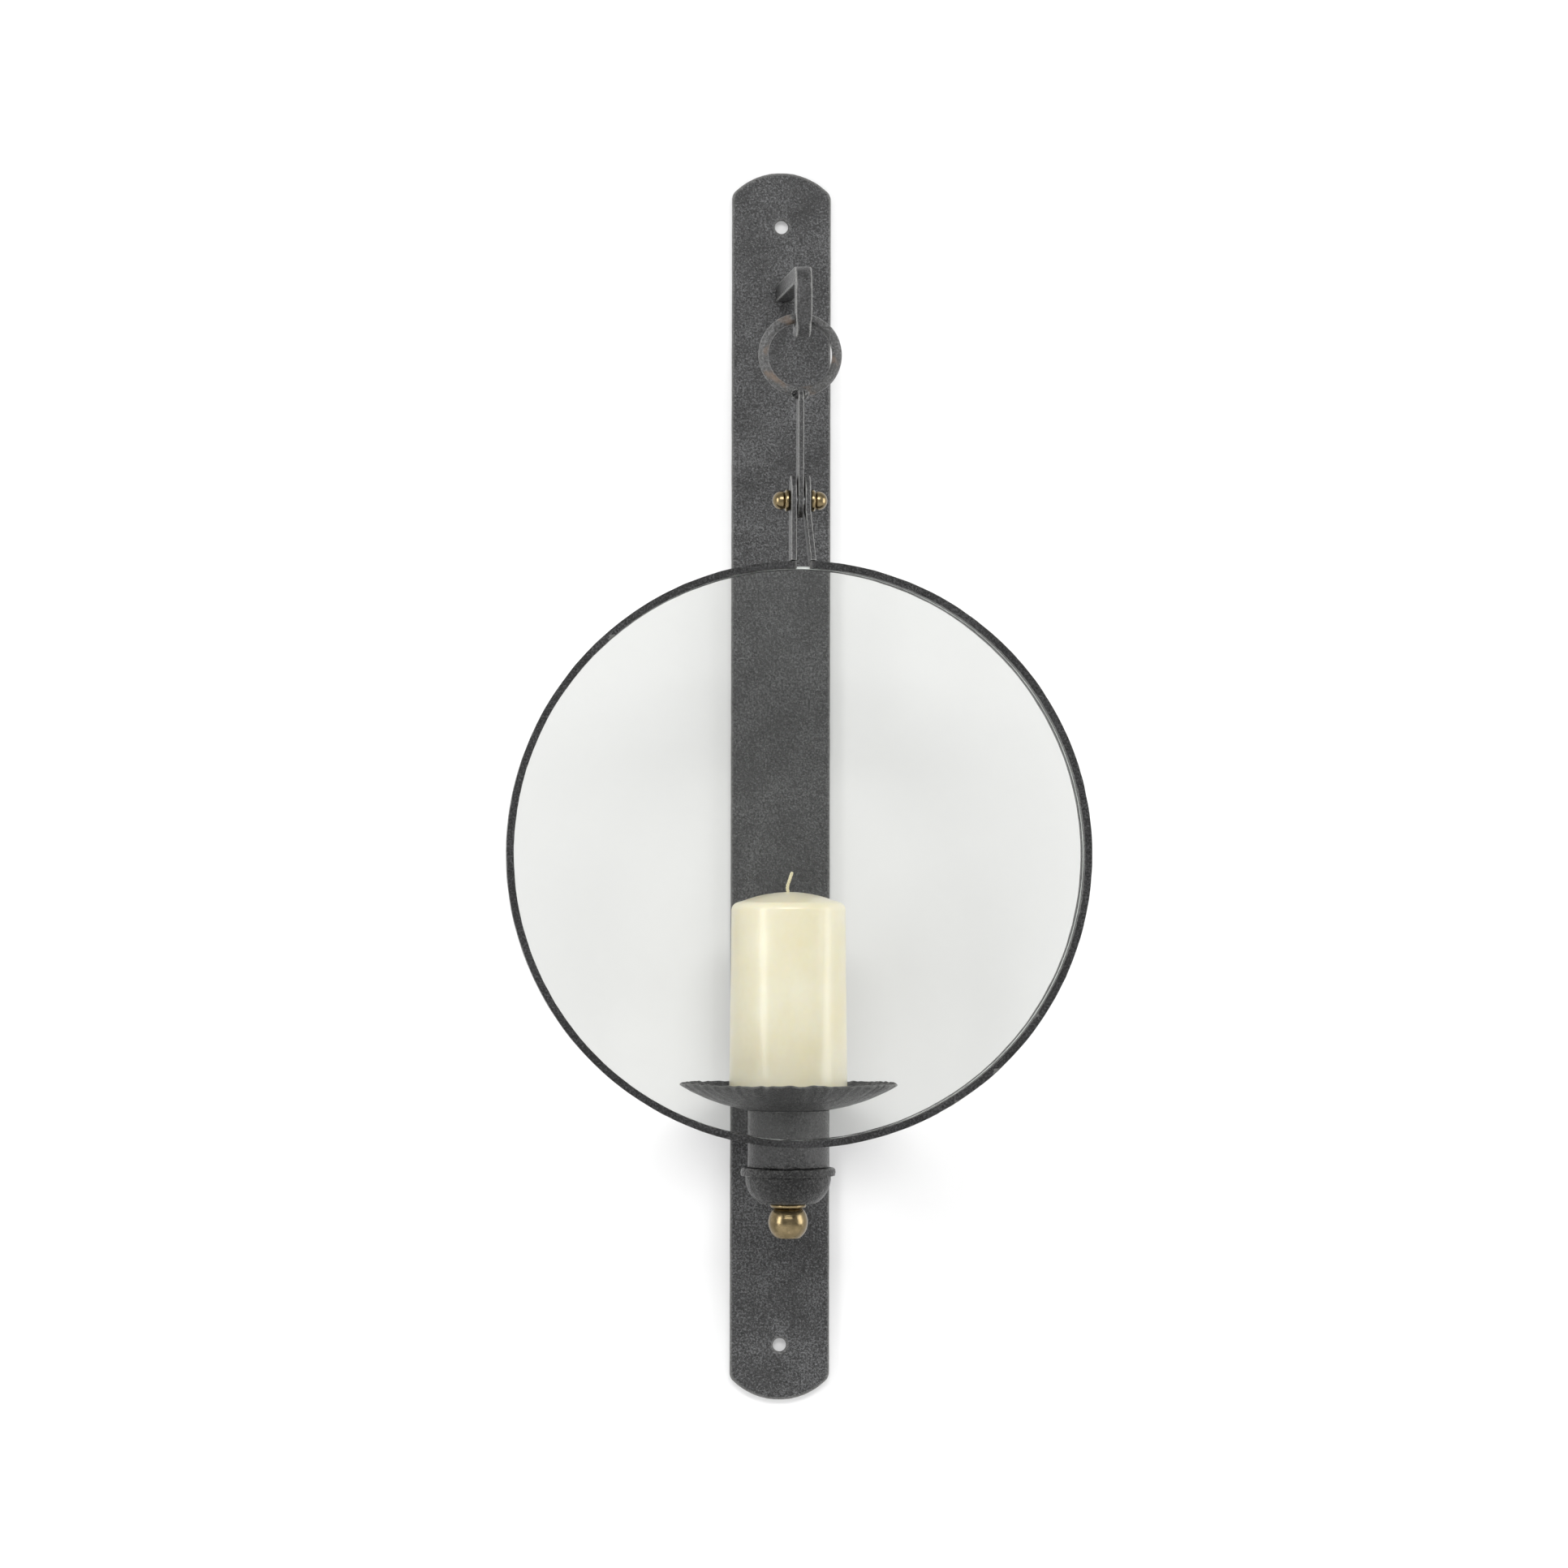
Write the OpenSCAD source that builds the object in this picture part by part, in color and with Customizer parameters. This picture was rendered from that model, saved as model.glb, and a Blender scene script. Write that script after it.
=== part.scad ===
// Wall sconce: a forged flat-bar back plate carries a candle cup low down and a
// hook high up. A round glass in an iron hoop hangs from the hook, in front of
// the candle. Millimetres, +Z up, the wall is the plane Y = 0 and the sconce
// stands out from it towards -Y. The origin is the middle of the plate's rear face.

/* [Back plate] */
// Width of the flat bar
plate_w = 60; // [50:1:70]
// Height of the plate over its curved ends
plate_len = 740; // [720:5:760]
// Thickness of the flat bar
plate_t = 5; // [4:0.5:8]
// Radius of each curved end
plate_end_r = 40; // [38:1:60]
// Radius where a curved end meets a side
plate_corner_r = 6; // [3:0.5:10]
// Diameter of the two wall holes
wall_hole_d = 8; // [5:0.5:9]
// Distance between the two wall holes
wall_hole_pitch = 674; // [640:2:680]

/* [Hook] */
// Thickness of the hook's square bar
hook_bar = 10; // [8:0.5:12]
// Width of the hook at its turned-back tip
hook_tip_w = 8.3; // [7.8:0.1:10]
// Height of the middle of the arm where it leaves the plate
hook_root_z = 296.4; // [290:0.2:300]
// Downward slope of the arm in degrees
hook_slope = 2.9; // [0:0.1:5]
// Sideways offset of the hook from the middle of the plate
hook_x = 1.2; // [-2:0.1:2]
// Inside radius of the bend from arm to leg
hook_bend_r = 3; // [2:0.5:6]
// Radius of the round tip that the ring sits on
peg_r = 3.8; // [3:0.1:4]

/* [Ring and strap] */
// Outside diameter of the hanging ring
ring_od = 48.6; // [44:0.2:50]
// Diameter of the ring's round bar
ring_bar = 6; // [5:0.2:7]
// Play between the ring and the hook
ring_play = 0.35; // [0.3:0.05:0.6]
// Width of the flat strap
strap_w = 20; // [16:1:22]
// Thickness of the flat strap
strap_t = 3.4; // [2.5:0.1:3.6]

/* [Glass hoop] */
// Distance from the wall to the middle of the hanging ring and glass
hang_h = 155; // [153:1:170]
// Outside radius of the hoop
hoop_r = 168.3; // [160:0.1:170]
// Height of the middle of the hoop
hoop_z = -44.4; // [-50:0.2:-40]
// Thickness of the hoop's band
band_t = 4.6; // [4:0.1:6]
// Depth of the band from front to back
band_w = 22; // [18:1:24]
// Thickness of the glass
glass_t = 4; // [3:0.5:5]
// Depth of the groove that holds the glass
groove_d = 1.6; // [1.2:0.1:2.5]
// Height of the pivot bolt
pivot_z = 158.8; // [156:0.2:162]
// Height of the top of the two ears
ear_top_z = 173.2; // [171:0.2:176]
// Thickness of each ear
ear_t = 3.4; // [3:0.1:4]
// Half of the gap between the ears at the bolt
ear_gap = 2.4; // [2.3:0.1:3]
// How far the right ear leans out at the hoop
ear_lean = 3.2; // [0:0.1:4]

/* [Bolt and brass nuts] */
// Diameter of the pivot bolt
bolt_d = 6; // [5:0.5:7]
// Diameter of each brass collar
collar_d = 12.6; // [11:0.1:14]
// Thickness of each brass collar
collar_t = 3; // [2.5:0.1:3.5]
// Diameter of each brass dome nut
dome_d = 10.7; // [9:0.1:12]
// Length of each brass dome nut
dome_len = 7; // [6:0.1:9]

/* [Candle cup] */
// Distance from the wall to the middle of the cup
cup_h = 72; // [71:0.5:74]
// Height of the lowest point of the drip pan
pan_z = -195; // [-197:0.5:-193]
// Radius of the drip pan at its rim
pan_r = 64.6; // [60:0.2:65]
// Depth of the drip pan
pan_depth = 16.1; // [12:0.1:18]
// Radius of the flat middle of the pan
pan_flat_r = 8; // [4:0.5:20]
// Thickness of the pan's sheet
pan_t = 1.6; // [1.2:0.1:2]
// Outside radius of the tube under the pan
tube_r = 23.9; // [22:0.1:25]
// Wall of the tube
tube_wall = 2; // [1.5:0.1:3]
// Height of the tube's lower end
tube_foot_z = -227.4; // [-230:0.2:-225]
// Radius of the lip of the bowl
lip_r = 28.2; // [26:0.1:30]
// Height of the lip of the bowl
lip_t = 5.1; // [4:0.1:6]
// Radius of the bowl under its lip
bowl_r = 25.35; // [24:0.05:26]
// Height of the whole bowl
bowl_hgt = 21.2; // [20:0.1:23]
// Radius of the bowl's rounding
bowl_round = 17.35; // [17:0.05:20]
// Radius of the collar above the finial
finial_collar_r = 10.75; // [9:0.05:12]
// Thickness of the collar above the finial
finial_collar_t = 2.4; // [2:0.1:4]
// Radius of the finial ball
ball_r = 11.7; // [10:0.1:13]
// Diameter of the rod that ties the cup together
rod_d = 6; // [5:0.5:8]

/* [Candle] */
// Radius of the candle at its foot
candle_r = 34.85; // [30:0.05:36]
// Radius of the candle at its shoulder
candle_top_r = 33.9; // [29:0.1:36]
// Height of the candle's shoulder
shoulder_z = -71; // [-100:1:-60]
// Rise of the rounded top above the shoulder
dome_rise = 5.8; // [4:0.2:12]
// Diameter of the wick
wick_d = 2.2; // [1.6:0.1:3]
// Height of the pan's spike
spike_len = 25; // [15:1:30]

/* [Arm and screws] */
// Width of the flat arm that carries the cup
arm_w = 12; // [10:1:16]
// Height of the flat arm
arm_hgt = 24; // [24:1:28]
// Middle height of the arm
arm_z = -211; // [-212:0.5:-210]
// Distance between the arm's two screws
arm_screw_pitch = 12; // [11:0.5:13]
// Diameter of the countersunk screws
screw_d = 5; // [4:0.5:5.5]
// How deep a screw goes past the plate
screw_grip = 16; // [10:1:20]

/* [Hidden] */

iron = "#4b4b4d";
brass = "#9c7c3c";
steel = "#8d8f92";
ivory = "#efe9d6";
clear = "#dfe6e2";
clear_alpha = 0.5;

eps = 0.01;              // keeps two curved faces from sharing a skin
cut = 1;                 // run-out of a cutter past its solid
screw_play = 0.05;       // radial play of the screws and the rod in their holes
pin_play = 0.06;         // radial play of the strap on the pivot bolt
csk_r = screw_d;         // radius of a countersunk head
csk_depth = screw_d / 2; // depth of a countersunk head
bend_steps = 16;         // segments of a wide bend
round_steps = 12;        // segments of a small rounding

// Ring on the hook: the ring hangs on the round tip, a little below the arm.
ring_mid_r = (ring_od - ring_bar) / 2;
ring_in_r = ring_mid_r - ring_bar / 2;
peg_z = 256.9;
ring_z = peg_z + peg_r + ring_play - ring_in_r;
ring_foot_z = ring_z - ring_od / 2;
leg_in_h = hang_h + ring_bar / 2 + ring_play;
leg_out_h = leg_in_h + hook_bar;
tip_room = 0.5;          // room between the ring and the upturned tip, besides the play
tip_h = hang_h - ring_bar / 2 - ring_play - peg_r - tip_room;
tip_top_z = 264;
knuckle_swell = 0.15;    // swelling where the tip turns up
knuckle_r = peg_r + knuckle_swell;

// Bend of the hook, from the sloping arm to the upright leg
bend_mid_r = hook_bend_r + hook_bar / 2;
bend_h = leg_in_h - hook_bend_r;
arm_run = (bend_h + bend_mid_r * sin(hook_slope) - plate_t) / cos(hook_slope);
bend_z = hook_root_z - arm_run * sin(hook_slope) - bend_mid_r * cos(hook_slope);
leg_below_peg = 0.6;
leg_foot_z = peg_z - peg_r - leg_below_peg;
leg_toe_r = 7.6;         // rounding of the leg's lower front corner

// Plate end: a large arc, blended into each side by a small one
end_c_z = plate_len / 2 - plate_end_r;
corner_x = plate_w / 2 - plate_corner_r;
corner_z = end_c_z + sqrt(pow(plate_end_r - plate_corner_r, 2) - pow(corner_x, 2));
arc_half_w = plate_end_r * corner_x / (plate_end_r - plate_corner_r);

// Hoop
band_in_r = hoop_r - band_t;
groove_play = 0.1;
groove_r = band_in_r + groove_d;
glass_r = groove_r - groove_play;
ear_out = ear_gap + ear_t;
knee_drop = 1;           // how far below the collar an ear starts to lean
knee_z = pivot_z - collar_d / 2 - knee_drop;
left_split = asin(ear_gap / hoop_r);
right_split = asin((ear_gap + ear_lean) / hoop_r);
bolt_len = 2 * (ear_out + collar_t + dome_len / 2);

// Drip pan: a flat middle and a rising arc, seen as a section
pan_arc_r = (pow(pan_r - pan_flat_r, 2) + pow(pan_depth, 2)) / (2 * pan_depth);
pan_arc_end = asin((pan_r - pan_flat_r) / pan_arc_r);
pan_steps = 24;
pan_in_z = pan_z + pan_t;

// Height of the pan's underside at a radius
function pan_under(r) = pan_z + pan_arc_r - sqrt(pow(pan_arc_r, 2) - pow(max(r - pan_flat_r, 0), 2));

// Points on an arc about a centre, from one angle to another
function arc(c, r, from, to, steps) =
    [for (i = [0:steps]) c + r * [cos(from + (to - from) * i / steps), sin(from + (to - from) * i / steps)]];

// Finial and rod
bowl_foot_z = tube_foot_z - bowl_hgt;
bowl_wall = 2.4;
ball_top_z = bowl_foot_z - finial_collar_t;
neck_r = 8;
ball_mid_z = ball_top_z - sqrt(pow(ball_r, 2) - pow(neck_r, 2));
ball_flat = 2.1;         // height cut off the bottom of the ball
flange_r = pan_flat_r;
flange_t = 3;
rod_grip = 6;            // length of rod screwed into the spike above its flange
rod_top_z = pan_in_z + flange_t + rod_grip;
rod_reach = 3;           // length of rod below the middle of the ball
rod_foot_z = ball_mid_z - rod_reach;
spike_wall = 2;          // metal round the rod in the root of the spike
spike_root_r = rod_d / 2 + spike_wall;
spike_roof = 1;          // metal over the end of the rod
spike_root_z = rod_top_z + spike_roof;

// Candle: it stands where its foot meets the rising side of the pan
stand_play = 0.3;
foot_round = 1.2;
candle_foot_z = pan_under(candle_r + pan_t) + pan_t + stand_play;
candle_hole_r = 3;
candle_hole_play = 4;
socket_play = 1;         // the hole's wide mouth clears the root of the spike by this
socket_room = 3;
socket_r = spike_root_r + socket_play;
socket_top_z = spike_root_z + socket_room;
spike_r = 2.5;
spike_top_z = pan_in_z + flange_t + spike_len;
hole_top_z = spike_top_z + candle_hole_play;
candle_top_z = shoulder_z + dome_rise;
shoulder_r = 5;
knot_share = 0.55;       // radius of a knot as a share of the wick's diameter
knot_r = knot_share * wick_d;
wick_play = 0.05;
wick_bore_r = knot_r + wick_play;

// Knots of the wick, each as its distance to the side and its height
wick_knots = [[0, candle_top_z], [-1, candle_top_z + 3], [2.4, candle_top_z + 12]];

$fn = 96;

// Draws an X-Z outline and thickens it outwards from a distance off the wall
module off_wall(h, thick) {
    translate([0, -h, 0]) rotate([90, 0, 0]) linear_extrude(thick) children();
}

// Draws a Y-Z outline and thickens it evenly to both sides of X = 0
module across(thick) {
    rotate([90, 0, 90]) linear_extrude(thick, center = true) children();
}

// A rod from the wall side outwards, round about Y
module rod_out(h, len, r1, r2) {
    translate([0, -h, 0]) rotate([90, 0, 0]) cylinder(h = len, r1 = r1, r2 = r2);
}

// A rod along X, centred on X = 0
module rod_across(len, r) {
    rotate([0, 90, 0]) cylinder(h = len, r = r, center = true);
}

// A countersunk screw driven from the wall side, with play all round for its hole
module csk(play) {
    rod_out(-play, csk_depth + play, csk_r + play, screw_d / 2 + play);
    rod_out(0, plate_t + screw_grip + play, screw_d / 2 + play, screw_d / 2 + play);
}

// The places of the two screws of the arm
module at_arm_screws() {
    for (side = [-1, 1]) translate([0, 0, arm_z + side * arm_screw_pitch / 2]) children();
}

module back_plate() {
    color(iron) difference() {
        union() {
            translate([-plate_w / 2, -plate_t, -corner_z]) cube([plate_w, plate_t, 2 * corner_z]);
            for (end = [0, 1]) mirror([0, 0, end]) plate_end();
        }
        for (side = [-1, 1]) translate([0, 0, side * wall_hole_pitch / 2])
            rod_out(-cut, plate_t + 2 * cut, wall_hole_d / 2, wall_hole_d / 2);
        translate([hook_x, 0, hook_root_z]) csk(screw_play);
        at_arm_screws() csk(screw_play);
    }
}

// One curved end of the plate, with its two rounded corners
module plate_end() {
    intersection() {
        translate([0, 0, end_c_z]) rod_out(0, plate_t, plate_end_r, plate_end_r);
        translate([-arc_half_w, -plate_t, end_c_z]) cube([2 * arc_half_w, plate_t, plate_end_r]);
    }
    for (side = [-1, 1]) translate([side * corner_x, 0, corner_z])
        rod_out(0, plate_t, plate_corner_r, plate_corner_r);
}

// Square bar with a sloping arm, a tight bend and an upright leg that narrows to its foot
module hook() {
    color(iron) difference() {
        union() {
            translate([hook_x, 0, 0]) difference() {
                across(hook_bar) polygon(hook_outline());
                for (side = [0, 1]) mirror([side, 0, 0]) leg_relief();
            }
            hook_tip();
        }
        translate([hook_x, 0, hook_root_z]) csk(screw_play);
    }
}

// Side view of the hook: over the arm, round the bend, down the leg and back inside
function hook_outline() =
    let (bend_c = [-bend_h, bend_z], half = hook_bar / 2 / cos(hook_slope))
    concat(
        [[-plate_t, hook_root_z - half], [-plate_t, hook_root_z + half]],
        arc(bend_c, hook_bend_r + hook_bar, 90 + hook_slope, 180, bend_steps),
        arc([-leg_out_h + leg_toe_r, leg_foot_z + leg_toe_r], leg_toe_r, 180, 270, round_steps),
        [[-leg_in_h, leg_foot_z]],
        arc(bend_c, hook_bend_r, 180, 90 + hook_slope, bend_steps / 2)
    );

// Cutter that narrows the leg on its +X side, from one bar's width above the tip to the foot
module leg_relief() {
    narrow = (hook_bar - hook_tip_w) / 2;
    drop = peg_z + hook_bar - leg_foot_z;
    off_wall(leg_in_h - cut, hook_bar + 2 * cut) polygon([
        [hook_bar / 2 + narrow, leg_foot_z + 2 * drop], [hook_tip_w / 2 - narrow, leg_foot_z - drop],
        [hook_bar, leg_foot_z - drop], [hook_bar, leg_foot_z + 2 * drop]
    ]);
}

// Round tip turned back under the ring, with its end turned up behind it
module hook_tip() {
    translate([0, 0, peg_z]) rod_out(tip_h, leg_in_h + hook_bar / 2 - tip_h, peg_r, peg_r);
    translate([0, -tip_h, 0]) {
        translate([0, 0, peg_z]) sphere(r = knuckle_r);
        rotate_extrude()
            polygon(concat([[0, peg_z], [peg_r, peg_z]], arc([0, tip_top_z], peg_r, 0, 90, round_steps)));
    }
}

module hook_screw() {
    color(steel) translate([hook_x, 0, hook_root_z]) csk(0);
}

module cup_arm() {
    color(iron) difference() {
        translate([-arm_w / 2, -cup_h, arm_z - arm_hgt / 2]) cube([arm_w, cup_h - plate_t, arm_hgt]);
        translate([0, -cup_h, arm_z]) cylinder(h = arm_hgt + cut, r = tube_r, center = true);
        at_arm_screws() csk(screw_play);
    }
}

module arm_screws() {
    color(steel) at_arm_screws() csk(0);
}

module cup_tube() {
    color(iron) translate([0, -cup_h, 0]) rotate_extrude() polygon([
        [tube_r - tube_wall, tube_foot_z], [tube_r, tube_foot_z],
        [tube_r, pan_under(tube_r) - eps], [tube_r - tube_wall, pan_under(tube_r - tube_wall) - eps]
    ]);
}

module drip_pan() {
    pan_c = [pan_flat_r, pan_z + pan_arc_r];
    hole_r = rod_d / 2 + screw_play;
    color(iron) translate([0, -cup_h, 0]) rotate_extrude() polygon(concat(
        [[hole_r, pan_in_z], [hole_r, pan_z]],
        arc(pan_c, pan_arc_r, 270, 270 + pan_arc_end, pan_steps),
        arc(pan_c, pan_arc_r - pan_t, 270 + pan_arc_end, 270, pan_steps)
    ));
}

// Spike that holds the candle, on a flange that clamps the pan; the rod screws into it
module pricket() {
    edge = 1;        // chamfer of the flange
    taper_hgt = 2;   // from the root to the spike
    tip_r = 0.6;
    tip_hgt = 1;
    color(iron) translate([0, -cup_h, 0]) difference() {
        rotate_extrude() polygon([
            [0, pan_in_z], [flange_r, pan_in_z], [flange_r, pan_in_z + flange_t - edge],
            [flange_r - edge, pan_in_z + flange_t], [spike_root_r, pan_in_z + flange_t],
            [spike_root_r, spike_root_z], [spike_r, spike_root_z + taper_hgt],
            [tip_r, spike_top_z - tip_hgt], [0, spike_top_z]
        ]);
        translate([0, 0, pan_z]) cylinder(h = rod_top_z - pan_z, r = rod_d / 2 + screw_play);
    }
}

module bowl() {
    neck_hgt = 1;    // upright stretch under the lip
    lip_edge = 0.6;  // chamfer of the lip's outer edge
    lip_slope = 1;   // run of the lip's sloping top
    round_c = [bowl_r - bowl_round, tube_foot_z - lip_t - neck_hgt];
    foot_a = asin((round_c[1] - bowl_foot_z) / bowl_round);
    in_r = bowl_round - bowl_wall;
    in_a = asin((round_c[1] - bowl_foot_z - bowl_wall) / in_r);
    hole_r = rod_d / 2 + screw_play;
    color(iron) translate([0, -cup_h, 0]) rotate_extrude() polygon(concat(
        [
            [hole_r, bowl_foot_z + bowl_wall], [hole_r, bowl_foot_z],
            [round_c[0] + bowl_round * cos(foot_a), bowl_foot_z]
        ],
        arc(round_c, bowl_round, -foot_a, 0, bend_steps),
        [
            [bowl_r, tube_foot_z - lip_t], [lip_r - lip_edge, tube_foot_z - lip_t],
            [lip_r, tube_foot_z - lip_t + lip_edge], [lip_r, tube_foot_z - lip_slope],
            [lip_r - lip_slope, tube_foot_z],
            [tube_r - tube_wall, tube_foot_z]
        ],
        arc(round_c, in_r, 0, -in_a, bend_steps)
    ));
}

module tie_rod() {
    color(steel) translate([0, -cup_h, rod_foot_z]) cylinder(h = rod_top_z - rod_foot_z, r = rod_d / 2);
}

module finial_collar() {
    color(brass) translate([0, -cup_h, ball_top_z]) difference() {
        cylinder(h = finial_collar_t, r = finial_collar_r);
        translate([0, 0, -cut]) cylinder(h = finial_collar_t + 2 * cut, r = rod_d / 2 + screw_play);
    }
}

// Brass ball, flat on top against the collar and flattened below, drilled for the rod
module finial_ball() {
    flat_z = ball_mid_z - ball_r + ball_flat;
    color(brass) translate([0, -cup_h, 0]) difference() {
        intersection() {
            translate([0, 0, ball_mid_z]) sphere(r = ball_r);
            translate([0, 0, flat_z]) cylinder(h = ball_top_z - flat_z, r = ball_r + cut);
        }
        translate([0, 0, rod_foot_z]) cylinder(h = 2 * ball_r, r = rod_d / 2 + screw_play);
    }
}

module candle() {
    shoulder_steps = 8;
    dome_steps = 20;
    join_a = 2;      // degrees of the dome left out next to the shoulder
    edge_r = candle_top_r - shoulder_r;
    dome_r = (pow(edge_r, 2) + pow(dome_rise, 2)) / (2 * dome_rise);
    dome_a = asin(edge_r / dome_r);
    color(ivory) translate([0, -cup_h, 0]) rotate_extrude() polygon(concat(
        [
            [socket_r, candle_foot_z], [candle_r - foot_round, candle_foot_z],
            [candle_r, candle_foot_z + foot_round]
        ],
        arc([edge_r, shoulder_z - shoulder_r], shoulder_r, 0, 90 - dome_a, shoulder_steps),
        arc(
            [0, candle_top_z - dome_r], dome_r,
            90 - dome_a + join_a, 90 - asin(wick_bore_r / dome_r), dome_steps
        ),
        [
            [wick_bore_r, hole_top_z], [candle_hole_r, hole_top_z],
            [candle_hole_r, socket_top_z], [socket_r, socket_top_z]
        ]
    ));
}

// Wick: straight inside the wax, then bent where it stands out of the top
module wick() {
    foot_gap = 2;    // between the spike's hole and the wick's foot
    straight_z = hole_top_z + foot_gap;
    color(ivory) translate([0, -cup_h, 0]) {
        translate([0, 0, straight_z]) cylinder(h = wick_knots[0][1] - straight_z, r = wick_d / 2);
        for (i = [0:len(wick_knots) - 2]) {
            run = wick_knots[i + 1] - wick_knots[i];
            translate([wick_knots[i][0], 0, wick_knots[i][1]]) {
                sphere(r = knot_r);
                rotate([0, atan2(run[0], run[1]), 0]) cylinder(h = norm(run), r = wick_d / 2);
            }
        }
    }
}

// The ring's own solid, upright in the plane of the glass
module ring_solid() {
    translate([0, -hang_h, ring_z]) rotate([90, 0, 0])
        rotate_extrude() translate([ring_mid_r, 0]) circle(r = ring_bar / 2);
}

module hanging_ring() {
    color(iron) ring_solid();
}

// The strap's own blank: round about the bolt, with eased corners at the ring
module strap_solid() {
    ease = 6;
    overlap = 0.6;   // share of the ring's bar that the strap reaches past
    top_z = ring_foot_z + overlap * ring_bar;
    translate([0, -hang_h, 0]) {
        translate([0, 0, pivot_z]) rod_across(strap_t, strap_w / 2);
        translate([-strap_t / 2, -strap_w / 2, pivot_z]) cube([strap_t, strap_w, top_z - ease - pivot_z]);
        translate([-strap_t / 2, -strap_w / 2 + ease, pivot_z]) cube([strap_t, strap_w - 2 * ease, top_z - pivot_z]);
        for (side = [-1, 1]) translate([0, side * (strap_w / 2 - ease), top_z - ease]) rod_across(strap_t, ease);
    }
}

module hanger_strap() {
    color(iron) difference() {
        strap_solid();
        ring_solid();
        translate([0, -hang_h, pivot_z]) rod_across(strap_t + 2 * cut, bolt_d / 2 + pin_play);
    }
}

// Weld in the four corners between the ring and the strap
module weld_beads() {
    bead_r = 2.6;
    bead_run = 11;
    bead_out = 1;    // middle of a bead, out from the strap's face
    bead_up = 1.4;   // middle of a bead, over the ring's lowest point
    color(iron) difference() {
        for (side = [-1, 1]) translate([
            side * (strap_t / 2 + bead_out), -hang_h + bead_run / 2, ring_foot_z + bead_up
        ]) {
            rotate([90, 0, 0]) cylinder(h = bead_run, r = bead_r);
            for (end = [0, bead_run]) translate([0, -end, 0]) sphere(r = bead_r);
        }
        ring_solid();
        strap_solid();
    }
}

// Split band with a groove inside for the glass; the split is at the top, between the ears
module hoop_band() {
    half_w = band_w / 2;
    half_groove = glass_t / 2 + groove_play;
    color(iron) translate([0, -hang_h, hoop_z]) rotate([90, 0, 0]) rotate([0, 0, 90 + left_split])
        rotate_extrude(angle = 360 - left_split - right_split) polygon([
            [band_in_r, -half_w], [hoop_r, -half_w], [hoop_r, half_w], [band_in_r, half_w],
            [band_in_r, half_groove], [groove_r, half_groove],
            [groove_r, -half_groove], [band_in_r, -half_groove]
        ]);
}

// An ear stands on the band beside the split, rounded on top and drilled for the bolt;
// lean carries its foot outwards below the bolt
module ear(lean) {
    root_sink = 1;   // the ear starts this far inside the band, and is cut to its curve
    foot_z = hoop_z + hoop_r * cos(right_split) - root_sink;
    color(iron) translate([0, -hang_h, 0]) difference() {
        intersection() {
            rotate([90, 0, 0]) linear_extrude(band_w, center = true) polygon([
                [ear_gap, ear_top_z], [ear_out, ear_top_z], [ear_out, knee_z],
                [ear_out + lean, foot_z], [ear_gap + lean, foot_z], [ear_gap, knee_z]
            ]);
            union() {
                translate([0, 0, ear_top_z - band_w / 2]) rod_across(4 * ear_out, band_w / 2);
                translate([0, -band_w / 2, foot_z])
                    cube([2 * ear_out + lean, band_w, ear_top_z - band_w / 2 - foot_z]);
            }
        }
        translate([0, 0, hoop_z]) rotate([90, 0, 0]) cylinder(h = 2 * band_w, r = hoop_r, center = true);
        translate([0, 0, pivot_z]) rod_across(4 * ear_out, bolt_d / 2 + screw_play);
    }
}

module left_ear() {
    mirror([1, 0, 0]) ear(0);
}

module right_ear() {
    ear(ear_lean);
}

module glass_disc() {
    color(clear, clear_alpha) translate([0, -hang_h + glass_t / 2, hoop_z]) rotate([90, 0, 0])
        cylinder(h = glass_t, r = glass_r);
}

module pivot_bolt() {
    color(steel) translate([0, -hang_h, pivot_z]) rod_across(bolt_len, bolt_d / 2);
}

// Brass collar between an ear and its dome nut, drawn on the +X side
module collar() {
    color(brass) translate([ear_out, -hang_h, pivot_z]) rotate([0, 90, 0]) difference() {
        cylinder(h = collar_t, r = collar_d / 2);
        translate([0, 0, -cut]) cylinder(h = collar_t + 2 * cut, r = bolt_d / 2 + screw_play);
    }
}

// Brass dome nut on the bolt's end, drawn on the +X side
module dome_nut() {
    dome_r = dome_d / 2;
    bore_len = bolt_len / 2 - ear_out - collar_t;
    color(brass) translate([ear_out + collar_t, -hang_h, pivot_z]) rotate([0, 90, 0]) difference() {
        union() {
            cylinder(h = dome_len - dome_r, r = dome_r);
            translate([0, 0, dome_len - dome_r]) intersection() {
                sphere(r = dome_r);
                cylinder(h = dome_r, r = dome_r + cut);
            }
        }
        translate([0, 0, -cut]) cylinder(h = bore_len + cut, r = bolt_d / 2 + screw_play);
    }
}

module left_collar() {
    mirror([1, 0, 0]) collar();
}

module right_collar() {
    collar();
}

module left_dome_nut() {
    mirror([1, 0, 0]) dome_nut();
}

module right_dome_nut() {
    dome_nut();
}

back_plate();
hook();
hook_screw();
cup_arm();
arm_screws();
cup_tube();
drip_pan();
pricket();
bowl();
tie_rod();
finial_collar();
finial_ball();
candle();
wick();
hanging_ring();
hanger_strap();
weld_beads();
hoop_band();
left_ear();
right_ear();
glass_disc();
pivot_bolt();
left_collar();
right_collar();
left_dome_nut();
right_dome_nut();
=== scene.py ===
import logging
import math
from dataclasses import dataclass
from enum import Enum
from typing import Callable, Sequence

import bmesh
import bpy
from mathutils import Matrix, Vector, noise


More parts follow.
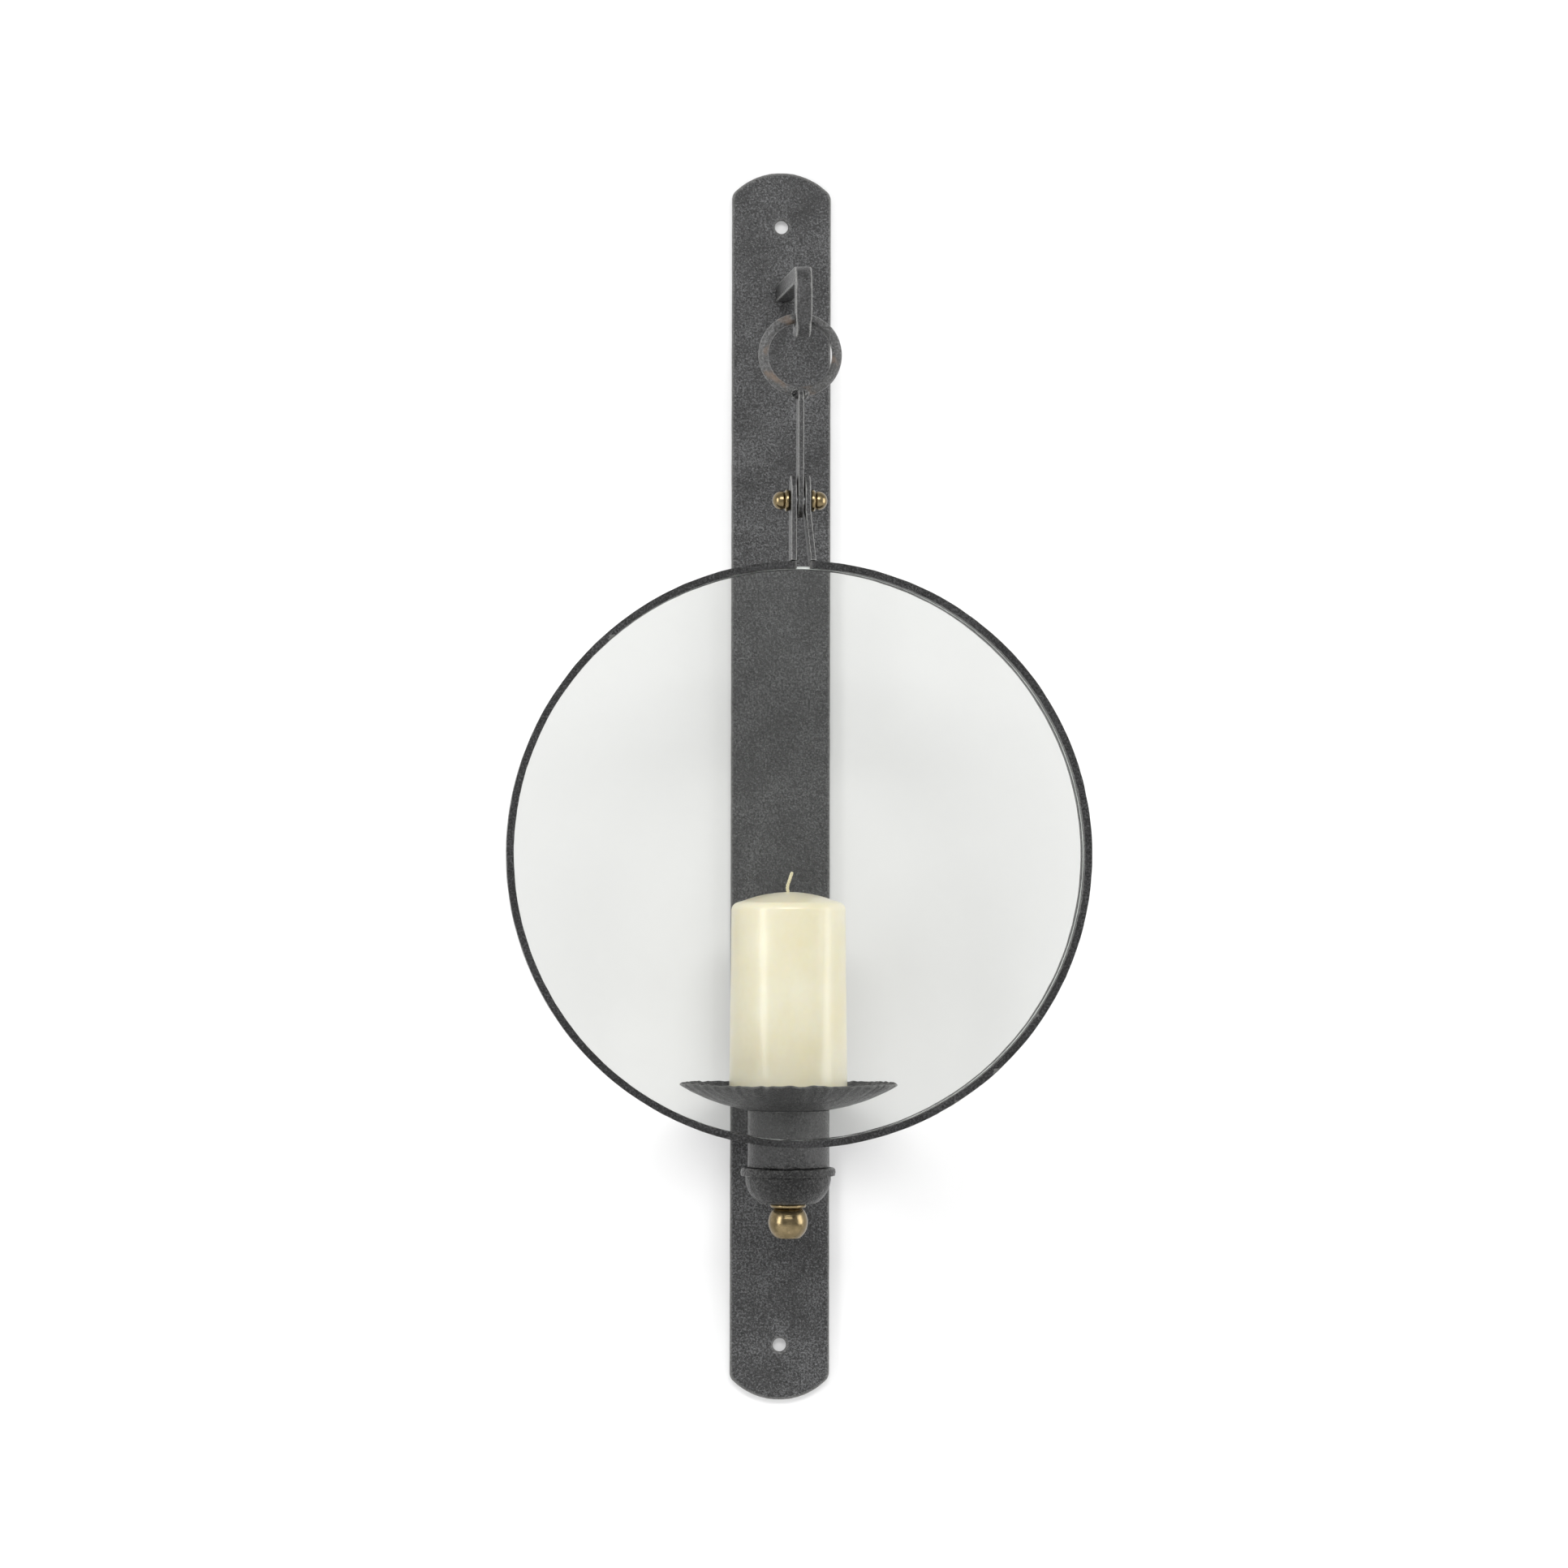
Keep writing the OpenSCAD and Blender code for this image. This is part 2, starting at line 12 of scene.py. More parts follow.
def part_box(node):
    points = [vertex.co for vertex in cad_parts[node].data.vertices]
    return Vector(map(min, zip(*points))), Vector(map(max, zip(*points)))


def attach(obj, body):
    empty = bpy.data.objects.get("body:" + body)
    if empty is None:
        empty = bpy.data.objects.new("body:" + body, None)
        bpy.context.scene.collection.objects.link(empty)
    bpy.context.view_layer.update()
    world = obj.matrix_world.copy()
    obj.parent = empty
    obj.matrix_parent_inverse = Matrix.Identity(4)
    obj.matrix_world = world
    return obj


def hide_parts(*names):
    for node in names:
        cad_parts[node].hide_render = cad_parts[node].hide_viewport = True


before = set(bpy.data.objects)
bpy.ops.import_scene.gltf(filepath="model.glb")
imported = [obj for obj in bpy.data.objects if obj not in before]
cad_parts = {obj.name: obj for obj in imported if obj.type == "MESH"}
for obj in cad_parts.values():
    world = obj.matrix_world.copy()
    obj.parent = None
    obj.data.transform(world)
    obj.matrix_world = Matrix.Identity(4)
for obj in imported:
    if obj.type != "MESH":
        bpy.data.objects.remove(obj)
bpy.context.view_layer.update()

LOG = logging.getLogger("sconce")
MM = 0.001
ROD_HOLE = 3.05 * MM
Profile = list[tuple[float, float]]
Colour = tuple[float, float, float]
Socket = bpy.types.NodeSocket


# ---------------------------------------------------------------- measures


class Body(Enum):
    """The CAD bodies that pieces ride on."""

    FRAME = "wall_frame"
    HANGER = "hanger"
    HOOP = "glass_hoop"
    CANDLE = "candle"


class Slot(Enum):
    """The material slots."""

    IRON = "forged_iron"
    STEEL = "steel"
    BRASS = "brass"
    WAX = "wax"
    COTTON = "wick_cotton"
    GLASS = "clear_glass"


class Spin(Enum):
    """Which way a turned piece's axis points."""

    UP = "up"
    RIGHT = "right"
    LEFT = "left"
    OUT = "out"

    def place(self, centre: Vector, radius: float, along: float, angle: float) -> Vector:
        """Puts one point of a turned piece.

        Args:
            centre: Where the axis starts.
            radius: Distance from the axis.
            along: Distance along the axis.
            angle: Turn about the axis, in radians.

        Returns:
            The point in the row frame.
        """
        across = radius * math.cos(angle)
        rise = radius * math.sin(angle)
        if self is Spin.UP:
            return centre + Vector((across, rise, along))
        if self is Spin.OUT:
            return centre + Vector((across, -along, rise))
        side = 1 if self is Spin.RIGHT else -1
        return centre + Vector((side * along, across, rise))


@dataclass(frozen=True)
class Extent:
    """The box that one CAD node fills."""

    low: Vector
    high: Vector

    @classmethod
    def of(cls, node: str) -> "Extent":
        """Reads a node's box from the frame."""
        return cls(*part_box(node))

    @property
    def size(self) -> Vector:
        """Length of each side."""
        return self.high - self.low

    @property
    def middle(self) -> Vector:
        """Centre of the box."""
        return (self.low + self.high) / 2


@dataclass(frozen=True)
class Corner:
    """A corner of an outline, with the radius that eases it."""

    x: float
    y: float
    ease: float = 0.0


# ---------------------------------------------------------------- outlines


def arc(centre: tuple[float, float], radius: float, start: float, end: float, steps: int) -> Profile:
    """Points along an arc.

    Args:
        centre: Middle of the arc.
        radius: Its radius.
        start: First angle in degrees.
        end: Last angle in degrees.
        steps: How many lengths the arc is cut into.

    Returns:
        The points from start to end.
    """
    angles = [math.radians(start + (end - start) * i / steps) for i in range(steps + 1)]
    return [(centre[0] + radius * math.cos(a), centre[1] + radius * math.sin(a)) for a in angles]


def ease_corner(before: Vector, at: Vector, after: Vector, ease: float) -> Profile:
    """Rounds one corner.

    Args:
        before: The corner before this one.
        at: The corner to round.
        after: The corner after it.
        ease: Radius of the rounding.

    Returns:
        The points that take the corner's place.
    """
    back = (before - at).normalized()
    ahead = (after - at).normalized()
    half = math.acos(max(-1.0, min(1.0, back.dot(ahead)))) / 2
    if ease <= 0 or half > math.radians(89):
        return [(at.x, at.y)]
    room = 0.49 * min((before - at).length, (after - at).length)
    reach = min(ease / math.tan(half), room)
    radius = reach * math.tan(half)
    centre = at + (back + ahead).normalized() * (radius / math.sin(half))
    first = at + back * reach - centre
    turn = first.angle_signed(at + ahead * reach - centre)
    steps = max(2, math.ceil(abs(math.degrees(turn)) / 12))
    points = []
    for i in range(steps + 1):
        angle = -turn * i / steps
        points.append((
            centre.x + first.x * math.cos(angle) - first.y * math.sin(angle),
            centre.y + first.x * math.sin(angle) + first.y * math.cos(angle),
        ))
    return points


def spaced(points: Profile, step: float, closed: bool) -> Profile:
    """Cuts long lengths of an outline into shorter ones.

    Args:
        points: The outline.
        step: Longest length wanted.
        closed: Whether the last point joins the first.

    Returns:
        The outline with points added.
    """
    ends = points[1:] + ([points[0]] if closed else [])
    result = []
    for here, there in zip(points, ends):
        cuts = max(1, math.ceil(math.dist(here, there) / step))
        for i in range(cuts):
            share = i / cuts
            result.append((here[0] + (there[0] - here[0]) * share, here[1] + (there[1] - here[1]) * share))
    return result if closed else result + [points[-1]]


def outline(corners: Sequence[Corner], step: float, closed: bool = False) -> Profile:
    """Makes a smooth outline from a few corners.

    Args:
        corners: The corners in order.
        step: Longest length wanted between two points.
        closed: Whether the last corner joins the first.

    Returns:
        The outline's points.
    """
    spots = [Vector((c.x, c.y)) for c in corners]
    points: Profile = []
    last = len(spots) - 1
    for i, corner in enumerate(corners):
        if not closed and i in (0, last):
            points.append((corner.x, corner.y))
        else:
            points += ease_corner(spots[i - 1], spots[i], spots[(i + 1) % len(spots)], corner.ease)
    return spaced(points, step, closed)


# ---------------------------------------------------------------- mesh making


def swing(spot: Vector) -> float:
    """Returns the smooth value of 0 to 1 that belongs to a spot."""
    return 0.5 + 0.5 * noise.noise(spot)


def round_ring(centre: Vector, side: Vector, front: Vector, radius: float, count: int) -> list[Vector]:
    """Puts points round the middle of a bar.

    Args:
        centre: The bar's middle.
        side: A direction square to the bar.
        front: The other direction square to it.
        radius: The bar's radius.
        count: How many points.

    Returns:
        The points in order.
    """
    turns = [math.tau * k / count for k in range(count)]
    return [centre + side * (radius * math.cos(t)) + front * (radius * math.sin(t)) for t in turns]


def link_mesh(name: str, mesh: bpy.types.Mesh) -> bpy.types.Object:
    """Puts a mesh into the scene as a smooth-shaded object.

    Args:
        name: The object's name.
        mesh: The mesh.

    Returns:
        The new object.
    """
    mesh.polygons.foreach_set("use_smooth", [True] * len(mesh.polygons))
    piece = bpy.data.objects.new(name, mesh)
    bpy.context.scene.collection.objects.link(piece)
    return piece


def loft(
    name: str,
    rings: Sequence[Sequence[Vector]],
    ring_closed: bool,
    path_closed: bool,
) -> bpy.types.Object:
    """Skins a row of rings that have the same number of points.

    Args:
        name: The piece's name.
        rings: The rings in order.
        ring_closed: Whether each ring joins up.
        path_closed: Whether the last ring joins the first.

    Returns:
        The piece, with its open ends capped.
    """
    made = bmesh.new()
    grid = [[made.verts.new(point) for point in ring] for ring in rings]
    count = len(rings[0])
    for i in range(len(rings) if path_closed else len(rings) - 1):
        here = grid[i]
        there = grid[(i + 1) % len(grid)]
        for j in range(count if ring_closed else count - 1):
            k = (j + 1) % count
            made.faces.new((here[j], here[k], there[k], there[j]))
    if ring_closed and not path_closed:
        for end in (grid[0], grid[-1]):
            made.faces.new(end)
    bmesh.ops.remove_doubles(made, verts=made.verts, dist=1e-7)
    bmesh.ops.recalc_face_normals(made, faces=made.faces)
    mesh = bpy.data.meshes.new(name)
    made.to_mesh(mesh)
    made.free()
    return link_mesh(name, mesh)


def lathe(
    name: str,
    points: Profile,
    centre: Vector,
    spin: Spin = Spin.UP,
    closed: bool = False,
    turns: int = 128,
    wobble: Callable[[float, float, float], tuple[float, float]] | None = None,
) -> bpy.types.Object:
    """Turns an outline about an axis.

    Args:
        name: The piece's name.
        points: The outline, as distances from the axis and along it.
        centre: Where the axis starts.
        spin: Which way the axis points.
        closed: Whether the outline is a loop that stays clear of the axis.
        turns: How many steps go round the axis.
        wobble: Gives a hand-made piece its uneven radius and height at a radius, height and angle.

    Returns:
        The piece.
    """
    rings = []
    for radius, along in points:
        ring = []
        for i in range(turns):
            angle = math.tau * i / turns
            spot = wobble(radius, along, angle) if wobble else (radius, along)
            ring.append(spin.place(centre, spot[0], spot[1], angle))
        rings.append(ring)
    return loft(name, rings, ring_closed=True, path_closed=closed) if closed else turned(name, rings)


def turned(name: str, rings: Sequence[Sequence[Vector]]) -> bpy.types.Object:
    """Skins the rings of a turned piece whose first and last rings lie on its axis.

    Args:
        name: The piece's name.
        rings: The rings in order.

    Returns:
        The piece, without the empty faces on its axis.
    """
    piece = loft(name, rings, ring_closed=True, path_closed=False)
    made = bmesh.new()
    made.from_mesh(piece.data)
    stray = [face for face in made.faces if face.calc_area() < 1e-14]
    bmesh.ops.delete(made, geom=stray, context="FACES_ONLY")
    bmesh.ops.recalc_face_normals(made, faces=made.faces)
    made.to_mesh(piece.data)
    made.free()
    return piece


def applied(piece: bpy.types.Object) -> bpy.types.Object:
    """Makes a piece's modifiers part of its mesh.

    Args:
        piece: The piece.

    Returns:
        The same piece, smooth-shaded.
    """
    graph = bpy.context.evaluated_depsgraph_get()
    mesh = bpy.data.meshes.new_from_object(piece.evaluated_get(graph))
    piece.modifiers.clear()
    piece.data = mesh
    mesh.polygons.foreach_set("use_smooth", [True] * len(mesh.polygons))
    return piece


def reforge(node: str, voxel: float, passes: int) -> bpy.types.Object:
    """Starts a hand-forged piece from a CAD node: an even skin with softened edges.

    Args:
        node: The CAD node.
        voxel: Size of the skin's facets.
        passes: How often the skin is smoothed.

    Returns:
        The piece, in the node's place.
    """
    made = bmesh.new()
    made.from_mesh(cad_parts[node].data)
    bmesh.ops.remove_doubles(made, verts=made.verts, dist=1e-6)
    mesh = bpy.data.meshes.new(f"{node}_forged")
    made.to_mesh(mesh)
    made.free()
    piece = link_mesh(f"{node}_forged", mesh)
    skin = piece.modifiers.new("skin", "REMESH")
    skin.mode = "VOXEL"
    skin.voxel_size = voxel
    soften = piece.modifiers.new("soften", "SMOOTH")
    soften.factor = 0.5
    soften.iterations = passes
    return applied(piece)


@dataclass(frozen=True)
class Handwork:
    """How uneven a tool leaves a surface: broad hammer marks and a fine grain."""

    dent: float
    dent_size: float
    grain: float
    grain_size: float

    def work(self, piece: bpy.types.Object) -> bpy.types.Object:
        """Sinks the marks into a piece's skin, never outwards.

        Args:
            piece: The piece to mark.

        Returns:
            The same piece.
        """
        mesh = piece.data
        skin = [(vertex.co.copy(), vertex.normal.copy()) for vertex in mesh.vertices]
        sunk: list[float] = []
        for spot, normal in skin:
            broad = swing(spot / self.dent_size)
            fine = swing(spot / self.grain_size)
            sunk.extend(spot - normal * (self.dent * broad + self.grain * fine))
        mesh.vertices.foreach_set("co", sunk)
        mesh.update()
        return piece


# ---------------------------------------------------------------- finishes


class Bench:
    """Lays out one material's nodes."""

    def __init__(self, name: str) -> None:
        """Starts an empty material with its output.

        Args:
            name: The material's name.
        """
        self.material = bpy.data.materials.new(name)
        self.material.use_nodes = True
        self.tree = self.material.node_tree
        self.tree.nodes.clear()
        self.output = self.tree.nodes.new("ShaderNodeOutputMaterial")
        self.place = self.tree.nodes.new("ShaderNodeTexCoord").outputs["Object"]

    def shader(self, **values: float | tuple) -> bpy.types.Node:
        """Adds the main shader and joins it to the output.

        Args:
            **values: Constant values of its sockets, with _ for a space.

        Returns:
            The shader node.
        """
        node = self.tree.nodes.new("ShaderNodeBsdfPrincipled")
        for socket, value in values.items():
            node.inputs[socket.replace("_", " ")].default_value = value
        self.tree.links.new(node.outputs["BSDF"], self.output.inputs["Surface"])
        return node

    def link(self, source: Socket, target: Socket) -> None:
        """Joins two sockets."""
        self.tree.links.new(source, target)

    def skin(
        self,
        shader: bpy.types.Node,
        colour: Socket,
        normal: Socket,
        rough: Socket | None = None,
    ) -> None:
        """Joins what a surface looks like to its shader.

        Args:
            shader: The shader node.
            colour: The surface's colour.
            normal: Its direction.
            rough: Its roughness, where that isn't even.
        """
        self.link(colour, shader.inputs["Base Color"])
        self.link(normal, shader.inputs["Normal"])
        if rough is not None:
            self.link(rough, shader.inputs["Roughness"])

    def grain(
        self,
        scale: float,
        detail: float,
        rough: float = 0.5,
        stretch: Vector | None = None,
    ) -> Socket:
        """Adds a cloudy pattern.

        Args:
            scale: Patches in a metre.
            detail: How much finer structure it has.
            rough: How strong that structure is.
            stretch: How much closer together the patches lie along each axis.

        Returns:
            The pattern's value.
        """
        node = self.tree.nodes.new("ShaderNodeTexNoise")
        node.inputs["Scale"].default_value = scale
        node.inputs["Detail"].default_value = detail
        node.inputs["Roughness"].default_value = rough
        place = self.place
        if stretch is not None:
            mapping = self.tree.nodes.new("ShaderNodeMapping")
            mapping.inputs["Scale"].default_value = stretch
            self.link(place, mapping.inputs["Vector"])
            place = mapping.outputs["Vector"]
        self.link(place, node.inputs["Vector"])
        return node.outputs["Fac"]

    def cells(self, scale: float) -> Socket:
        """Adds a pattern of round hollows.

        Args:
            scale: Hollows in a metre.

        Returns:
            The distance to the nearest hollow's middle.
        """
        node = self.tree.nodes.new("ShaderNodeTexVoronoi")
        node.inputs["Scale"].default_value = scale
        self.link(self.place, node.inputs["Vector"])
        return node.outputs["Distance"]

    def edges(self) -> Socket:
        """Returns how much a spot stands out: high on edges, low in corners."""
        return self.tree.nodes.new("ShaderNodeNewGeometry").outputs["Pointiness"]

    def ramp(self, source: Socket, low: float, high: float) -> Socket:
        """Stretches a value so that low gives 0 and high gives 1.

        Args:
            source: The value.
            low: Where the result starts to rise.
            high: Where it is full.

        Returns:
            The stretched value.
        """
        node = self.tree.nodes.new("ShaderNodeMapRange")
        node.inputs["From Min"].default_value = low
        node.inputs["From Max"].default_value = high
        self.link(source, node.inputs["Value"])
        return node.outputs["Result"]

    def between(self, source: Socket, low: float, high: float) -> Socket:
        """Turns a value of 0 to 1 into one of low to high.

        Args:
            source: The value.
            low: What 0 becomes.
            high: What 1 becomes.

        Returns:
            The new value.
        """
        node = self.tree.nodes.new("ShaderNodeMapRange")
        node.inputs["To Min"].default_value = low
        node.inputs["To Max"].default_value = high
        self.link(source, node.inputs["Value"])
        return node.outputs["Result"]

    def sum(self, first: Socket, second: Socket, share: float) -> Socket:
        """Adds a share of a second value to a first one.

        Args:
            first: The value that counts in full.
            second: The value that counts in part.
            share: How much of the second value is added.

        Returns:
            The sum.
        """
        node = self.tree.nodes.new("ShaderNodeMath")
        node.operation = "MULTIPLY_ADD"
        node.inputs[1].default_value = share
        self.link(second, node.inputs[0])
        self.link(first, node.inputs[2])
        return node.outputs[0]

    def tint(
        self,
        source: Socket,
        low: Colour | Socket,
        high: Colour,
    ) -> Socket:
        """Mixes two colours by a value.

        Args:
            source: The value, 0 for the low colour and 1 for the high one.
            low: The low colour, or a socket that gives it.
            high: The high colour.

        Returns:
            The mixed colour.
        """
        node = self.tree.nodes.new("ShaderNodeMix")
        node.data_type = "RGBA"
        self.link(source, node.inputs["Factor"])
        if isinstance(low, Socket):
            self.link(low, node.inputs["A"])
        else:
            node.inputs["A"].default_value = (*low, 1.0)
        node.inputs["B"].default_value = (*high, 1.0)
        return next(s for s in node.outputs if s.type == "RGBA")

    def bump(self, height: Socket, depth: float, strength: float = 1.0) -> Socket:
        """Turns a height into an uneven surface.

        Args:
            height: The height, from 0 to 1.
            depth: What a height of 1 means, in metres.
            strength: How much of the unevenness shows.

        Returns:
            The surface's direction.
        """
        node = self.tree.nodes.new("ShaderNodeBump")
        node.inputs["Distance"].default_value = depth
        node.inputs["Strength"].default_value = strength
        self.link(height, node.inputs["Height"])
        return node.outputs["Normal"]


@dataclass(frozen=True)
class Finish:
    """What a surface is made of; each kind lays its own nodes."""

    name: str

    def material(self) -> bpy.types.Material:
        """Returns the finish's material, made once."""
        found = bpy.data.materials.get(self.name)
        return found or self.lay(Bench(self.name))

    def lay(self, bench: Bench) -> bpy.types.Material:
        """Lays the finish's nodes; each kind of finish has its own."""
        raise NotImplementedError


@dataclass(frozen=True)
class ForgedIron(Finish):
    """Dark scale under wax, finely pitted, with paler edges that carry both wear and a painted edge
    highlight.
    """

    dark: Colour = (0.001, 0.001, 0.001)
    pale: Colour = (0.074, 0.075, 0.077)
    # Paler edge colour, and below it the pointiness range that lays it: edge wear plus a painted edge
    # highlight.
    wear_and_edge_highlight: Colour = (0.125, 0.125, 0.120)
    heat: Colour | None = None
    ior: float = 1.46
    flecks: tuple[float, float] = (0.585, 0.735)
    rubbed: tuple[float, float] = (0.51, 0.56)
    gloss: tuple[float, float] = (0.16, 0.42)
    relief: float = 0.6 * MM

    def lay(self, bench: Bench) -> bpy.types.Material:
        """Lays pits, patches, paler edges (edge wear plus a painted edge highlight) and, on brazed pieces, a
        brown heat tint.

        Args:
            bench: The empty material.

        Returns:
            The finished material.
        """
        shader = bench.shader(Metallic=0.0, IOR=self.ior)
        speckle = bench.grain(850, 3.0, 0.75)
        patches = bench.grain(38, 3.0)
        mixed = bench.sum(speckle, patches, 0.22)
        colour = bench.tint(bench.ramp(mixed, *self.flecks), self.dark, self.pale)
        # Painted edge highlight: a paler colour on edges by pointiness, partly wear and partly light painted
        # where edges catch the lamps.
        colour = bench.tint(bench.ramp(bench.edges(), *self.rubbed), colour, self.wear_and_edge_highlight)
        if self.heat:
            colour = bench.tint(bench.ramp(bench.grain(90, 2.0), 0.56, 0.70), colour, self.heat)
        rough = bench.between(bench.grain(420, 2.0), *self.gloss)
        pits = bench.ramp(bench.cells(520), 0.05, 0.45)
        height = bench.sum(bench.sum(speckle, pits, 0.25), bench.grain(200, 2.0), 1.5)
        bench.skin(shader, colour, bench.bump(height, self.relief), rough)
        return bench.material


@dataclass(frozen=True)
class AgedBrass(Finish):
    """Old brass: rubbed bright where it stands out, brown in its corners."""

    dark: Colour = (0.045, 0.034, 0.016)
    bright: Colour = (0.29, 0.225, 0.125)
    gloss: tuple[float, float] = (0.16, 0.34)
    relief: float = 0.04 * MM

    def lay(self, bench: Bench) -> bpy.types.Material:
        """Lays the patina by the piece's edges and a cloudy pattern.

        Args:
            bench: The empty material.

        Returns:
            The finished material.
        """
        shader = bench.shader(Metallic=1.0)
        clouds = bench.grain(260, 3.0)
        rubbed = bench.sum(bench.ramp(bench.edges(), 0.46, 0.54), bench.ramp(clouds, 0.35, 0.65), 0.3)
        colour = bench.tint(bench.ramp(rubbed, 0.2, 1.2), self.dark, self.bright)
        normal = bench.bump(bench.grain(900, 2.0), self.relief)
        bench.skin(shader, colour, normal, bench.between(clouds, *self.gloss))
        return bench.material


@dataclass(frozen=True)
class PlainSteel(Finish):
    """Turned steel with fine tool lines."""

    dark: Colour = (0.22, 0.22, 0.225)
    bright: Colour = (0.48, 0.48, 0.49)
    gloss: tuple[float, float] = (0.28, 0.45)
    relief: float = 0.02 * MM

    def lay(self, bench: Bench) -> bpy.types.Material:
        """Lays the steel's tool lines.

        Args:
            bench: The empty material.

        Returns:
            The finished material.
        """
        shader = bench.shader(Metallic=1.0)
        lines = bench.grain(500, 2.0, 0.5, Vector((1.0, 6.0, 6.0)))
        colour = bench.tint(lines, self.dark, self.bright)
        bench.skin(shader, colour, bench.bump(lines, self.relief), bench.between(lines, *self.gloss))
        return bench.material


@dataclass(frozen=True)
class CandleWax(Finish):
    """Ivory wax that light sinks into, with a faint bloom."""

    deep: Colour = (0.70, 0.645, 0.46)
    bloom: Colour = (0.755, 0.72, 0.575)
    gloss: tuple[float, float] = (0.24, 0.38)
    light_depth: float = 6 * MM
    relief: float = 0.5 * MM

    def lay(self, bench: Bench) -> bpy.types.Material:
        """Lays the wax's bloom, its soft skin and the depth that light reaches.

        Args:
            bench: The empty material.

        Returns:
            The finished material.
        """
        shader = bench.shader(
            Subsurface_Weight=0.55,
            Subsurface_Radius=(1.0, 0.75, 0.4),
            Subsurface_Scale=self.light_depth,
            Coat_Weight=0.25,
            Coat_Roughness=0.14,
            IOR=1.44,
        )
        bloom = bench.sum(bench.grain(28, 4.0), bench.grain(340, 3.0), 0.25)
        colour = bench.tint(bench.ramp(bloom, 0.45, 0.85), self.deep, self.bloom)
        rough = bench.between(bench.grain(120, 3.0), *self.gloss)
        waves = bench.sum(bench.grain(60, 2.0), bench.grain(700, 2.0), 0.12)
        bench.skin(shader, colour, bench.bump(waves, self.relief, 0.5), rough)
        return bench.material


@dataclass(frozen=True)
class WickCotton(Finish):
    """Waxed cotton yarn."""

    shade: Colour = (0.50, 0.44, 0.25)
    yarn: Colour = (0.82, 0.77, 0.55)
    relief: float = 0.1 * MM

    def lay(self, bench: Bench) -> bpy.types.Material:
        """Lays the yarn's fibres.

        Args:
            bench: The empty material.

        Returns:
            The finished material.
        """
        shader = bench.shader(Sheen_Weight=0.3, Roughness=0.6)
        fibres = bench.grain(2600, 3.0, 0.6, Vector((1.0, 1.0, 0.3)))
        colour = bench.tint(bench.ramp(fibres, 0.35, 0.65), self.shade, self.yarn)
        bench.skin(shader, colour, bench.bump(fibres, self.relief))
        return bench.material


@dataclass(frozen=True)
class ClearGlass(Finish):
    """Flat clear glass with a faint grey-green cast: lets light through and mirrors a little."""

    cast: Colour = (0.894, 0.898, 0.890)
    streak: float = 0.985
    mirror_rough: float = 0.02
    mirror_head_on: float = 0.035
    mirror_power: float = 5.0

    def lay(self, bench: Bench) -> bpy.types.Material:
        """Lays a see-through shader under a mirror that grows towards grazing views; it casts no shadow.

        Args:
            bench: The empty material.

        Returns:
            The finished material.
        """
        nodes = bench.tree.nodes
        through = nodes.new("ShaderNodeBsdfTransparent")
        streaks = bench.grain(6, 3.0)
        low = tuple(self.streak * part for part in self.cast)
        bench.link(bench.tint(bench.ramp(streaks, 0.35, 0.65), low, self.cast), through.inputs["Color"])
        mirror = nodes.new("ShaderNodeBsdfGlossy")
        mirror.inputs["Roughness"].default_value = self.mirror_rough
        slant = nodes.new("ShaderNodeLayerWeight")
        steep = nodes.new("ShaderNodeMath")
        steep.operation = "POWER"
        steep.inputs[1].default_value = self.mirror_power
        bench.link(slant.outputs["Facing"], steep.inputs[0])
        mix = nodes.new("ShaderNodeMixShader")
        bench.link(bench.between(steep.outputs[0], self.mirror_head_on, 1.0), mix.inputs["Fac"])
        bench.link(through.outputs["BSDF"], mix.inputs[1])
        bench.link(mirror.outputs["BSDF"], mix.inputs[2])
        clear = nodes.new("ShaderNodeBsdfTransparent")
        lit = nodes.new("ShaderNodeLightPath")
        shade = nodes.new("ShaderNodeMixShader")
        bench.link(lit.outputs["Is Shadow Ray"], shade.inputs["Fac"])
        bench.link(mix.outputs["Shader"], shade.inputs[1])
        bench.link(clear.outputs["BSDF"], shade.inputs[2])
        bench.link(shade.outputs["Shader"], bench.output.inputs["Surface"])
        return bench.material


@dataclass(frozen=True)
class GroundEdge(Finish):
    """The glass's ground rim: frosted and pale green-grey."""

    low: Colour = (0.50, 0.53, 0.51)
    high: Colour = (0.72, 0.74, 0.72)
    relief: float = 0.04 * MM

    def lay(self, bench: Bench) -> bpy.types.Material:
        """Lays the fine grit of the grinding.

        Args:
            bench: The empty material.

        Returns:
            The finished material.
        """
        shader = bench.shader(Roughness=0.55, IOR=1.5)
        grit = bench.grain(1500, 2.0)
        bench.skin(shader, bench.tint(grit, self.low, self.high), bench.bump(grit, self.relief))
        return bench.material


@dataclass(frozen=True)
class StudioPaint(Finish):
    """Matt paint of the wall and floor, which can be seen through from behind."""

    shade: float
    glow: float = 0.0
    mottle: float = 1.01

    def lay(self, bench: Bench) -> bpy.types.Material:
        """Lays the paint over one face and leaves the other open.

        Args:
            bench: The empty material.

        Returns:
            The finished material.
        """
        shader = bench.shader(Roughness=0.9, Specular_IOR_Level=0.0, Emission_Strength=self.glow)
        tone = bench.tint(bench.grain(1.5, 2.0), (self.shade,) * 3, (self.shade * self.mottle,) * 3)
        bench.link(tone, shader.inputs["Base Color"])
        nodes = bench.tree.nodes
        through = nodes.new("ShaderNodeBsdfTransparent")
        mix = nodes.new("ShaderNodeMixShader")
        side = nodes.new("ShaderNodeNewGeometry")
        bench.link(side.outputs["Backfacing"], mix.inputs["Fac"])
        bench.link(shader.outputs["BSDF"], mix.inputs[1])
        bench.link(through.outputs["BSDF"], mix.inputs[2])
        bench.link(mix.outputs["Shader"], bench.output.inputs["Surface"])
        return bench.material


